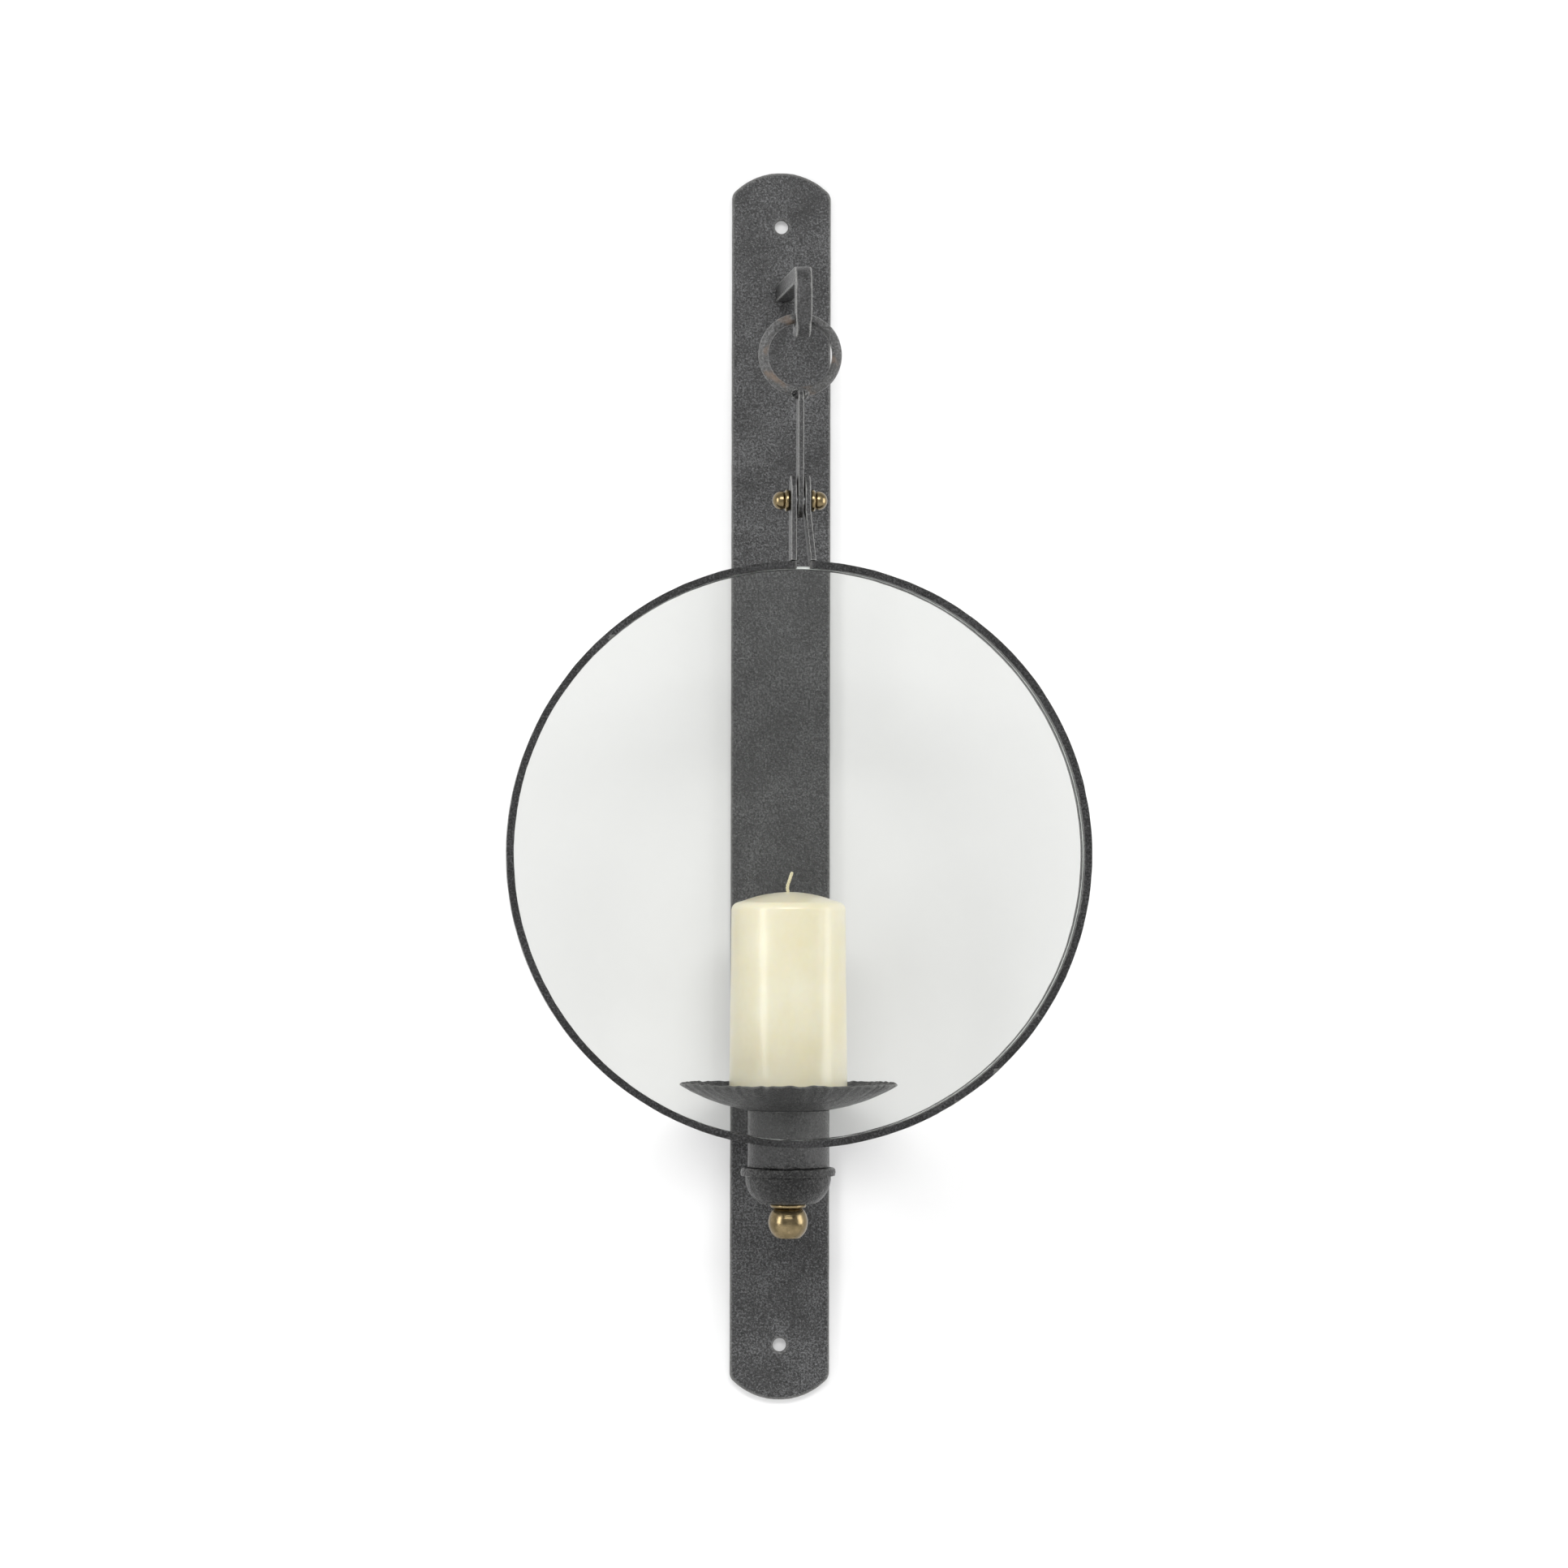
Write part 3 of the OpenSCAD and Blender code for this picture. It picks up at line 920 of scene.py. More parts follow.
IRON = ForgedIron("waxed_iron")
# Darker copy of the iron for the hoop band: painted shade that holds down the light the top lamp throws on
# the band.
HOOP_IRON_PAINTED_SHADE = ForgedIron("hoop_iron_painted_shade", pale=(0.036, 0.036, 0.037), wear_and_edge_highlight=(0.075, 0.075, 0.072), ior=1.32)
# Bar iron: dark base with a bright edge colour, which is edge wear plus a painted edge highlight.
BAR_IRON = ForgedIron(
    "bar_iron", dark=(0.003, 0.003, 0.003), pale=(0.042, 0.042, 0.043), wear_and_edge_highlight=(0.26, 0.26, 0.25)
)
# Darker copies of the iron for the tube and for the pan, bowl and spike: painted shade on the lower cup
# pieces.
TUBE_IRON_PAINTED_SHADE = ForgedIron("tube_iron_painted_shade", dark=(0.0006, 0.0006, 0.0006), pale=(0.030, 0.030, 0.030), ior=1.48)
CUP_IRON_PAINTED_SHADE = ForgedIron("cup_iron_painted_shade", dark=(0.001, 0.001, 0.001), pale=(0.050, 0.050, 0.049), ior=1.33)
# Their bright edge colours are edge wear plus a painted edge highlight.
BRAZED_IRON = ForgedIron("brazed_iron", wear_and_edge_highlight=(0.22, 0.22, 0.21), heat=(0.085, 0.060, 0.042))
WELD_IRON = ForgedIron("weld_iron", pale=(0.11, 0.11, 0.11), wear_and_edge_highlight=(0.26, 0.26, 0.25))
BRASS = AgedBrass("aged_brass")
STEEL = PlainSteel("plain_steel")
WAX = CandleWax("candle_wax")
COTTON = WickCotton("wick_yarn")
GLASS = ClearGlass("flat_glass")
GROUND_EDGE = GroundEdge("ground_edge")
WALL_PAINT = StudioPaint("wall_paint", shade=0.50, glow=0.25)
FLOOR_PAINT = StudioPaint("floor_paint", shade=0.80)

FLAT_BAR_WORK = Handwork(0.22 * MM, 14 * MM, 0.05 * MM, 2.6 * MM)
SMALL_BAR_WORK = Handwork(0.22 * MM, 6 * MM, 0.06 * MM, 1.8 * MM)
SHEET_WORK = Handwork(0.30 * MM, 5 * MM, 0.10 * MM, 2.0 * MM)
WELD_WORK = Handwork(0.7 * MM, 2.2 * MM, 0.12 * MM, 0.8 * MM)
RING_WORK = Handwork(0.08 * MM, 5 * MM, 0.03 * MM, 1.5 * MM)
HOOP_WORK = Handwork(0.30 * MM, 7 * MM, 0.08 * MM, 2.0 * MM)


# ---------------------------------------------------------------- sub-assemblies


class SubAssembly:
    """Pieces that are made and fitted together; each kind makes its own in build()."""

    def fit(
        self,
        piece: bpy.types.Object,
        node: str,
        body: Body,
        slot: Slot,
        finish: Finish,
    ) -> bpy.types.Object:
        """Dresses a made piece and lets it stand for its CAD node.

        Args:
            piece: The piece.
            node: The CAD node that it replaces.
            body: The body that it rides on.
            slot: A material slot; not used.
            finish: What it is made of.

        Returns:
            The same piece.
        """
        if not piece.data.materials:
            piece.data.materials.append(finish.material())
        else:
            piece.data.materials[0] = finish.material()
        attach(piece, body.value)
        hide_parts(node)
        LOG.info("%s stands for %s, %d faces", piece.name, node, len(piece.data.polygons))
        return piece

    def dress(self, node: str, finish: Finish) -> None:
        """Gives a CAD node that stays as it is its finish.

        Args:
            node: The CAD node.
            finish: What it is made of.
        """
        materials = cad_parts[node].data.materials
        materials.clear()
        materials.append(finish.material())
        LOG.info("%s stays, in %s", node, finish.name)

    def build(self) -> None:
        """Makes and fits the pieces; each sub-assembly has its own."""
        raise NotImplementedError


@dataclass
class WallFrame(SubAssembly):
    """Back plate, hook and the arm behind the cup, all forged from bar."""

    plate_skin: float = 1.15 * MM
    bar_skin: float = 0.65 * MM

    def build(self) -> None:
        """Makes the plate, the hook and the arm."""
        plate = FLAT_BAR_WORK.work(reforge("back_plate", self.plate_skin, 3))
        self.fit(plate, "back_plate", Body.FRAME, Slot.IRON, IRON)
        hook = SMALL_BAR_WORK.work(reforge("hook", self.bar_skin, 6))
        self.fit(hook, "hook", Body.FRAME, Slot.IRON, BAR_IRON)
        arm = SMALL_BAR_WORK.work(reforge("cup_arm", self.bar_skin, 3))
        self.fit(arm, "cup_arm", Body.FRAME, Slot.IRON, IRON)


@dataclass
class Fixings(SubAssembly):
    """Slotted countersunk screws, driven through the plate from the wall side."""

    slot_width: float = 1.2 * MM
    slot_depth: float = 1.1 * MM
    edge: float = 0.2 * MM
    thread_pitch: float = 0.8 * MM
    thread_depth: float = 0.25 * MM

    def build(self) -> None:
        """Makes the hook's screw and the arm's two screws."""
        hook = self.screw("hook_screw_slotted", Extent.of("hook_screw").middle)
        self.fit(hook, "hook_screw", Body.FRAME, Slot.STEEL, STEEL)
        arm = Extent.of("arm_screws")
        reach = (arm.size.z - arm.size.x) / 2
        pair = [
            self.screw("arm_screws_slotted", arm.middle - Vector((0, 0, reach))),
            self.screw("arm_screw_upper", arm.middle + Vector((0, 0, reach))),
        ]
        made = bmesh.new()
        for piece in pair:
            made.from_mesh(piece.data)
        made.to_mesh(pair[0].data)
        made.free()
        bpy.data.objects.remove(pair[1])
        self.fit(pair[0], "arm_screws", Body.FRAME, Slot.STEEL, STEEL)

    def screw(self, name: str, middle: Vector) -> bpy.types.Object:
        """Makes one screw.

        Args:
            name: The piece's name.
            middle: Where its axis runs.

        Returns:
            The screw, head to the wall.
        """
        box = Extent.of("hook_screw")
        head_r = box.size.x / 2
        shank_r = head_r / 2
        length = box.size.y
        corners = [
            Corner(0, 0),
            Corner(head_r, 0, self.edge),
            Corner(shank_r, head_r / 2, self.edge),
        ]
        turn = head_r / 2 + self.thread_pitch
        while turn < length - self.thread_pitch:
            corners.append(Corner(shank_r, turn))
            corners.append(Corner(shank_r - self.thread_depth, turn + self.thread_pitch / 2))
            turn += self.thread_pitch
        corners += [Corner(shank_r - self.edge, length, self.edge), Corner(0, length)]
        centre = Vector((middle.x, box.high.y, middle.z))
        screw = lathe(name, outline(corners, 2 * MM), centre, Spin.OUT, turns=48)
        slot = bpy.data.meshes.new("slot")
        made = bmesh.new()
        bmesh.ops.create_cube(made, size=1.0)
        for vertex in made.verts:
            vertex.co.x = middle.x + vertex.co.x * self.slot_width
            vertex.co.y = box.high.y + vertex.co.y * 2 * self.slot_depth
            vertex.co.z = middle.z + vertex.co.z * 3 * head_r
        made.to_mesh(slot)
        made.free()
        cutter = link_mesh("slot", slot)
        cut = screw.modifiers.new("slot", "BOOLEAN")
        cut.operation = "DIFFERENCE"
        cut.object = cutter
        applied(screw)
        bpy.data.objects.remove(cutter)
        screw.data.polygons.foreach_set("use_smooth", [False] * len(screw.data.polygons))
        return screw


@dataclass
class CandleCup(SubAssembly):
    """Drip pan, tube, bowl and finial, threaded on a rod under the candle."""

    sheet: float = 1.6 * MM
    rim_wave: float = 0.7 * MM
    rim_ripple: float = 0.8 * MM
    rim_from: float = 0.55
    step: float = 1.3 * MM
    pan_flat: float = 8 * MM
    pan_steps: int = 44
    tube_wall: float = 2 * MM
    lip_over: float = 2.85 * MM
    lip_height: float = 5.1 * MM
    bowl_bend: float = 17.35 * MM
    bowl_wall: float = 2.4 * MM
    tube_bore: float = 21.9 * MM
    ball_neck: float = 8 * MM
    collar_bulge: float = 0.6 * MM
    flange_height: float = 3 * MM
    spike_root: float = 5 * MM
    root_height: float = 10 * MM
    spike_radius: float = 2.5 * MM

    def build(self) -> None:
        """Makes the turned pieces from the pan down, and dresses the rod."""
        self.fit(self.pan(), "drip_pan", Body.FRAME, Slot.IRON, CUP_IRON_PAINTED_SHADE)
        self.fit(self.tube(), "cup_tube", Body.FRAME, Slot.IRON, TUBE_IRON_PAINTED_SHADE)
        self.fit(self.bowl(), "bowl", Body.FRAME, Slot.IRON, CUP_IRON_PAINTED_SHADE)
        self.fit(self.collar(), "finial_collar", Body.FRAME, Slot.BRASS, BRASS)
        self.fit(self.ball(), "finial_ball", Body.FRAME, Slot.BRASS, BRASS)
        self.fit(self.spike(), "pricket", Body.FRAME, Slot.IRON, CUP_IRON_PAINTED_SHADE)
        self.dress("tie_rod", STEEL)

    def axis(self, node: str) -> Vector:
        """Finds the point on a node's upright axis at height 0.

        Args:
            node: The CAD node.

        Returns:
            The point.
        """
        middle = Extent.of(node).middle
        return Vector((middle.x, middle.y, 0))

    def pan(self) -> bpy.types.Object:
        """Makes the pan: thin sheet dished by hand, with an uneven rim.

        Returns:
            The pan.
        """
        box = Extent.of("drip_pan")
        radius = box.size.x / 2
        flat = self.pan_flat
        hole = ROD_HOLE
        run = radius - flat
        depth = box.size.z - self.sheet * 0.87
        bow = (run * run + depth * depth) / (2 * depth)
        centre = (flat, box.low.z + bow)
        end = -90 + math.degrees(math.asin(run / bow))
        under = arc(centre, bow, -90, end, self.pan_steps)
        inside = arc(centre, bow - self.sheet, end, -90, self.pan_steps)
        lip = arc(
            ((under[-1][0] + inside[0][0]) / 2, (under[-1][1] + inside[0][1]) / 2),
            self.sheet / 2, end, end + 180, 6,
        )
        points = [(hole, box.low.z)] + under[:-1] + lip + inside[1:] + [(hole, box.low.z + self.sheet)]

        def uneven(r: float, z: float, angle: float) -> tuple[float, float]:
            """Gives the rim its hammered wave, nothing at the middle.

            Args:
                r: Distance from the axis.
                z: Height.
                angle: Turn about the axis.

            Returns:
                The changed distance and height.
            """
            share = max(0.0, r / radius - self.rim_from) / (1 - self.rim_from)
            ring = Vector((math.cos(angle), math.sin(angle), 0))
            wave = noise.noise(ring * 1.7 + Vector((4.1, 0, 0)))
            ripple = noise.noise(ring * 14.0 + Vector((0, 2.3, 0)))
            drop = share * share * (self.rim_wave * wave + self.rim_ripple * ripple)
            pull = share * share * self.rim_ripple * (1 + ripple + wave)
            return r - pull, z + drop - share * share * self.rim_wave * 0.5

        axis = self.axis("drip_pan")
        piece = lathe("drip_pan_hammered", points, axis, closed=True, turns=300, wobble=uneven)
        return SHEET_WORK.work(piece)

    def tube(self) -> bpy.types.Object:
        """Makes the tube under the pan.

        Returns:
            The tube.
        """
        box = Extent.of("cup_tube")
        outer = box.size.x / 2
        inner = outer - self.tube_wall
        corners = [
            Corner(inner, box.low.z), Corner(outer, box.low.z, 0.4 * MM),
            Corner(outer, box.high.z, 0.2 * MM), Corner(inner, box.high.z),
        ]
        points = outline(corners, self.step, closed=True)
        piece = lathe("cup_tube_worked", points, self.axis("cup_tube"), closed=True, turns=110)
        return SHEET_WORK.work(piece)

    def bowl(self) -> bpy.types.Object:
        """Makes the bowl: a banded lip over a rounded body.

        Returns:
            The bowl.
        """
        box = Extent.of("bowl")
        lip = box.size.x / 2
        top = box.high.z
        body_r = lip - self.lip_over
        bend = self.bowl_bend
        lip_foot = top - self.lip_height
        centre = (body_r - bend, lip_foot - 1 * MM)
        foot = math.degrees(math.asin((centre[1] - box.low.z) / bend))
        hole = ROD_HOLE
        wall = self.bowl_wall
        skirt = arc(centre, bend, -foot, 0, 20)
        band = outline([
            Corner(body_r, centre[1]), Corner(body_r, lip_foot, 0.3 * MM),
            Corner(lip - 0.4 * MM, lip_foot, 0.5 * MM), Corner(lip, lip_foot + 2.3 * MM, 0.8 * MM),
            Corner(lip - 0.3 * MM, top - 0.9 * MM, 0.5 * MM), Corner(lip - 1.5 * MM, top, 0.6 * MM),
            Corner(self.tube_bore, top),
        ], self.step)
        hollow = arc(centre, bend - wall, 0, -foot + 8, 16)
        points = [(hole, box.low.z + wall), (hole, box.low.z)] + skirt + band[1:] + hollow
        return SHEET_WORK.work(lathe("bowl_turned", points, self.axis("bowl"), closed=True, turns=150))

    def collar(self) -> bpy.types.Object:
        """Makes the thin round collar over the finial.

        Returns:
            The collar.
        """
        box = Extent.of("finial_collar")
        outer = box.size.x / 2
        hole = ROD_HOLE
        points = outline([
            Corner(hole, box.low.z), Corner(outer - self.collar_bulge, box.low.z, 0.4 * MM),
            Corner(outer, box.middle.z, 0.8 * MM), Corner(outer - self.collar_bulge, box.high.z, 0.4 * MM),
            Corner(hole, box.high.z),
        ], 0.8 * MM, closed=True)
        return lathe("finial_collar_turned", points, self.axis("finial_collar"), closed=True, turns=90)

    def ball(self) -> bpy.types.Object:
        """Makes the finial: a ball with a short neck and a flattened foot.

        Returns:
            The ball.
        """
        box = Extent.of("finial_ball")
        radius = box.size.x / 2
        neck = self.ball_neck
        centre_z = box.high.z - math.sqrt(radius * radius - neck * neck)
        start = math.degrees(math.asin((box.low.z - centre_z) / radius))
        end = math.degrees(math.asin((box.high.z - 0.5 * MM - centre_z) / radius))
        round_part = arc((0, centre_z), radius, start + 1.5, end, 48)
        foot_r = radius * math.cos(math.radians(start))
        points = [(0, box.low.z), (foot_r - 1.0 * MM, box.low.z), (foot_r - 0.35 * MM, box.low.z + 0.06 * MM)]
        points += round_part + [(neck - 0.3 * MM, box.high.z), (0, box.high.z)]
        return lathe("finial_ball_turned", points, self.axis("finial_ball"), turns=96)

    def spike(self) -> bpy.types.Object:
        """Makes the spike and its flange, seen when the candle is lifted off.

        Returns:
            The spike.
        """
        box = Extent.of("pricket")
        flange = box.size.x / 2
        foot = box.low.z
        flange_top = foot + self.flange_height
        root = self.spike_root
        points = outline([
            Corner(0, foot), Corner(flange, foot, 0.3 * MM), Corner(flange, flange_top, 0.8 * MM),
            Corner(root, flange_top, 0.8 * MM), Corner(root, foot + self.root_height, 0.8 * MM),
            Corner(self.spike_radius, foot + self.root_height + 2 * MM, 1.5 * MM),
            Corner(0.6 * MM, box.high.z - 1 * MM, 0.4 * MM), Corner(0, box.high.z),
        ], self.step)
        return lathe("pricket_forged", points, self.axis("pricket"), turns=64)


@dataclass
class PillarCandle(SubAssembly):
    """The wax candle and its twisted wick."""

    shoulder: float = 5.0 * MM
    taper: float = 0.95 * MM
    dome_rise: float = 5.8 * MM
    spike_hole: float = 3 * MM
    hole_room: float = 4 * MM
    socket_inset: float = 2 * MM
    socket_height: float = 13 * MM
    wick_radius: float = 1.1 * MM
    foot_ease: float = 1.2 * MM
    strands: int = 3
    strand_pitch: float = 4.2 * MM
    strand_thick: float = 0.50 * MM
    strand_offset: float = 0.52 * MM
    strand_sides: int = 10
    strand_step: float = 0.45 * MM
    frayed_end: float = 0.45

    def build(self) -> None:
        """Makes the candle and the wick."""
        self.fit(self.wax(), "candle", Body.CANDLE, Slot.WAX, WAX)
        self.fit(self.wick(), "wick", Body.CANDLE, Slot.COTTON, COTTON)

    def wax(self) -> bpy.types.Object:
        """Makes the wax body: a shallow taper, a soft shoulder and a domed top.

        Returns:
            The candle.
        """
        box = Extent.of("candle")
        foot_r = box.size.x / 2
        top_r = foot_r - self.taper
        shoulder_z = box.high.z - self.dome_rise
        hole = self.spike_hole
        spike = Extent.of("pricket")
        hole_top = spike.high.z + self.hole_room
        socket = spike.size.x / 2 - self.socket_inset
        socket_top = spike.low.z + self.socket_height
        edge_r = top_r - self.shoulder
        rise = box.high.z - shoulder_z
        dome = (edge_r * edge_r + rise * rise) / (2 * rise)
        lean = math.degrees(math.asin(edge_r / dome))
        wick_r = self.wick_radius
        upright = [(foot_r, box.low.z + self.foot_ease), (top_r, shoulder_z - self.shoulder)]
        side = spaced(upright, 2.5 * MM, False)
        points = [(0, hole_top), (hole, hole_top), (hole, socket_top)]
        points += [(socket, socket_top), (socket, box.low.z)]
        points += arc((foot_r - self.foot_ease, box.low.z + self.foot_ease), self.foot_ease, -90, 0, 5)
        points += side[1:-1]
        points += arc((edge_r, shoulder_z - self.shoulder), self.shoulder, 0, 90 - lean, 9)
        points += arc((0, box.high.z - dome), dome, 90 - lean + 2, 90 - math.degrees(wick_r / dome) * 3, 26)
        points += [(1.6 * MM, box.high.z - 0.10 * MM), (1.15 * MM, box.high.z - 0.6 * MM)]
        points.append((0, box.high.z - 0.8 * MM))
        axis = Vector((box.middle.x, box.middle.y, 0))

        def poured(r: float, z: float, angle: float) -> tuple[float, float]:
            """Lets the wax sag and swell a little, least at its foot.

            Args:
                r: Distance from the axis.
                z: Height.
                angle: Turn about the axis.

            Returns:
                The changed distance and height.
            """
            high = max(0.0, (z - box.low.z) / box.size.z)
            ring = Vector((math.cos(angle), math.sin(angle), z / (40 * MM)))
            swell = noise.noise(ring * 1.3)
            ripple = noise.noise(ring * 4.0)
            shrink = (0.30 * MM + 0.25 * MM * swell + 0.10 * MM * ripple) * high
            sink = 0.25 * MM * (1 + noise.noise(ring * 2.1)) if z > shoulder_z - self.shoulder else 0.0
            return max(r - shrink, 0.0) if r > 4 * MM else r, z - sink

        return lathe("candle_poured", points, axis, turns=160, wobble=poured)

    def wick(self) -> bpy.types.Object:
        """Makes the wick: strands twisted round its bent line.

        Returns:
            The wick.
        """
        box = Extent.of("wick")
        axis = Vector((box.middle.x, box.middle.y, 0))
        wax_top = Extent.of("candle").high.z
        line = [
            Vector((0, axis.y, box.low.z + 1 * MM)), Vector((0, axis.y, wax_top - 2 * MM)),
            Vector((-0.9 * MM, axis.y, wax_top + 2.6 * MM)),
            Vector((2.1 * MM, axis.y, box.high.z - 0.8 * MM)),
        ]
        made = bmesh.new()
        for strand in range(self.strands):
            piece = self.strand(line, strand)
            made.from_mesh(piece.data)
            bpy.data.objects.remove(piece)
        mesh = bpy.data.meshes.new("wick_twisted")
        made.to_mesh(mesh)
        made.free()
        return link_mesh("wick_twisted", mesh)

    def strand(self, line: Sequence[Vector], number: int) -> bpy.types.Object:
        """Makes one strand of the wick.

        Args:
            line: The wick's middle line.
            number: Which strand it is.

        Returns:
            A tube that winds round the line.
        """
        offset = self.strand_offset
        spots: list[Vector] = []
        for here, there in zip(line, line[1:]):
            cuts = max(2, round((there - here).length / self.strand_step))
            spots += [here.lerp(there, i / cuts) for i in range(cuts)]
        spots.append(line[-1])
        smooth = spots[:1]
        for i in range(1, len(spots) - 1):
            low = max(0, i - 3)
            high = min(len(spots), i + 4)
            smooth.append(sum(spots[low:high], Vector()) / (high - low))
        smooth.append(spots[-1])
        rings = []
        travelled = 0.0
        for i, spot in enumerate(smooth):
            ahead = (smooth[min(i + 1, len(smooth) - 1)] - smooth[max(i - 1, 0)]).normalized()
            side = Vector((0, 1, 0))
            front = side.cross(ahead).normalized()
            phase = math.tau * (number / self.strands + travelled / self.strand_pitch)
            centre = spot + side * offset * math.cos(phase) + front * offset * math.sin(phase)
            frayed = 1.0 if i < len(smooth) - 1 else self.frayed_end
            rings.append(round_ring(centre, side, front, self.strand_thick * frayed, self.strand_sides))
            if i < len(smooth) - 1:
                travelled += (smooth[i + 1] - spot).length
        return loft(f"strand_{number}", rings, ring_closed=True, path_closed=False)


@dataclass
class Hanger(SubAssembly):
    """The ring on the hook, and the strap welded to it."""

    skin: float = 0.5 * MM
    weld_skin: float = 0.3 * MM
    flat: float = 0.06 * MM
    ring_uneven: float = 0.2 * MM
    bar_sides: int = 32
    ring_turns: int = 240

    def build(self) -> None:
        """Makes the ring, the strap and the weld."""
        self.fit(self.ring(), "hanging_ring", Body.HANGER, Slot.IRON, BRAZED_IRON)
        strap = SMALL_BAR_WORK.work(reforge("hanger_strap", self.skin, 3))
        self.fit(strap, "hanger_strap", Body.HANGER, Slot.IRON, BAR_IRON)
        weld = WELD_WORK.work(reforge("weld_beads", self.weld_skin, 1))
        self.fit(weld, "weld_beads", Body.HANGER, Slot.IRON, WELD_IRON)

    def ring(self) -> bpy.types.Object:
        """Makes the ring: round bar bent by hand, with its ends brazed at the top.

        Returns:
            The ring.
        """
        box = Extent.of("hanging_ring")
        bar = box.size.y / 2
        radius = box.size.x / 2 - bar
        rings = []
        for i in range(self.ring_turns):
            angle = math.tau * i / self.ring_turns
            outward = Vector((math.cos(angle), 0, math.sin(angle)))
            thin = bar - self.flat * swing(outward * 6)
            middle = box.middle + outward * (radius - self.ring_uneven * swing(outward * 2))
            rings.append(round_ring(middle, outward, Vector((0, 1, 0)), thin, self.bar_sides))
        piece = loft("hanging_ring_bent", rings, ring_closed=True, path_closed=True)
        return RING_WORK.work(piece)


@dataclass
class GlassHoop(SubAssembly):
    """Split iron band, its two ears, and the glass in the band's groove."""

    band: float = 4.6 * MM
    groove: float = 1.6 * MM
    groove_half: float = 2.1 * MM
    edge: float = 0.7 * MM
    ear_skin: float = 0.5 * MM
    arris: float = 0.8 * MM
    ground_width: float = 1.3 * MM
    band_uneven: float = 0.25 * MM
    band_steps: int = 760
    glass_rings: int = 12

    def build(self) -> None:
        """Makes the band, the ears and the glass."""
        self.fit(self.hoop(), "hoop_band", Body.HOOP, Slot.IRON, HOOP_IRON_PAINTED_SHADE)
        for node in ("left_ear", "right_ear"):
            ear = SMALL_BAR_WORK.work(reforge(node, self.ear_skin, 3))
            self.fit(ear, node, Body.HOOP, Slot.IRON, BAR_IRON)
        self.glass()

    def hoop(self) -> bpy.types.Object:
        """Makes the band: flat bar bent round, grooved inside, open between the ears.

        Returns:
            The band.
        """
        box = Extent.of("hoop_band")
        outer = box.size.x / 2
        centre = Vector((box.middle.x, box.middle.y, box.low.z + outer))
        half = box.size.y / 2
        inner = outer - self.band
        deep = inner + self.groove
        section = outline([
            Corner(inner, -half, self.edge), Corner(outer, -half, self.edge),
            Corner(outer, half, self.edge), Corner(inner, half, self.edge),
            Corner(inner, self.groove_half, 0.2 * MM), Corner(deep, self.groove_half),
            Corner(deep, -self.groove_half), Corner(inner, -self.groove_half, 0.2 * MM),
        ], 1.4 * MM, closed=True)
        left = Extent.of("left_ear").high.x
        right = Extent.of("right_ear")
        foot = right.high.x - Extent.of("left_ear").size.x
        start = math.pi / 2 + math.asin(-left / outer)
        end = math.pi / 2 + math.tau - math.asin(foot / outer)
        steps = self.band_steps
        rings = []
        for i in range(steps + 1):
            angle = start + (end - start) * i / steps
            outward = Vector((math.cos(angle), 0, math.sin(angle)))
            uneven = self.band_uneven * swing(outward * 7)
            rings.append([centre + outward * (r - uneven) + Vector((0, y, 0)) for r, y in section])
        piece = loft("hoop_band_bent", rings, ring_closed=True, path_closed=False)
        return HOOP_WORK.work(piece)

    def glass(self) -> None:
        """Makes the glass: a flat disc whose rim is ground and eased."""
        box = Extent.of("glass_disc")
        radius = box.size.x / 2
        half = box.size.y / 2
        ground = radius - self.ground_width
        rings = self.glass_rings
        points = [(0, -half)]
        points += [(radius * i / rings, -half) for i in range(1, rings)]
        points += [(ground, -half), (radius - self.arris, -half), (radius, -half + self.arris)]
        points += [(radius, half - self.arris), (radius - self.arris, half), (ground, half)]
        points += [(radius * i / rings, half) for i in range(rings - 1, 0, -1)]
        points.append((0, half))
        piece = lathe("glass_disc_ground", points, box.middle, Spin.OUT, turns=256)
        piece.data.polygons.foreach_set("use_smooth", [False] * len(piece.data.polygons))
        piece.data.materials.append(GLASS.material())
        piece.data.materials.append(GROUND_EDGE.material())
        for face in piece.data.polygons:
            middle = face.center - box.middle
            face.material_index = int(math.hypot(middle.x, middle.z) > ground)
        self.fit(piece, "glass_disc", Body.HOOP, Slot.GLASS, GLASS)


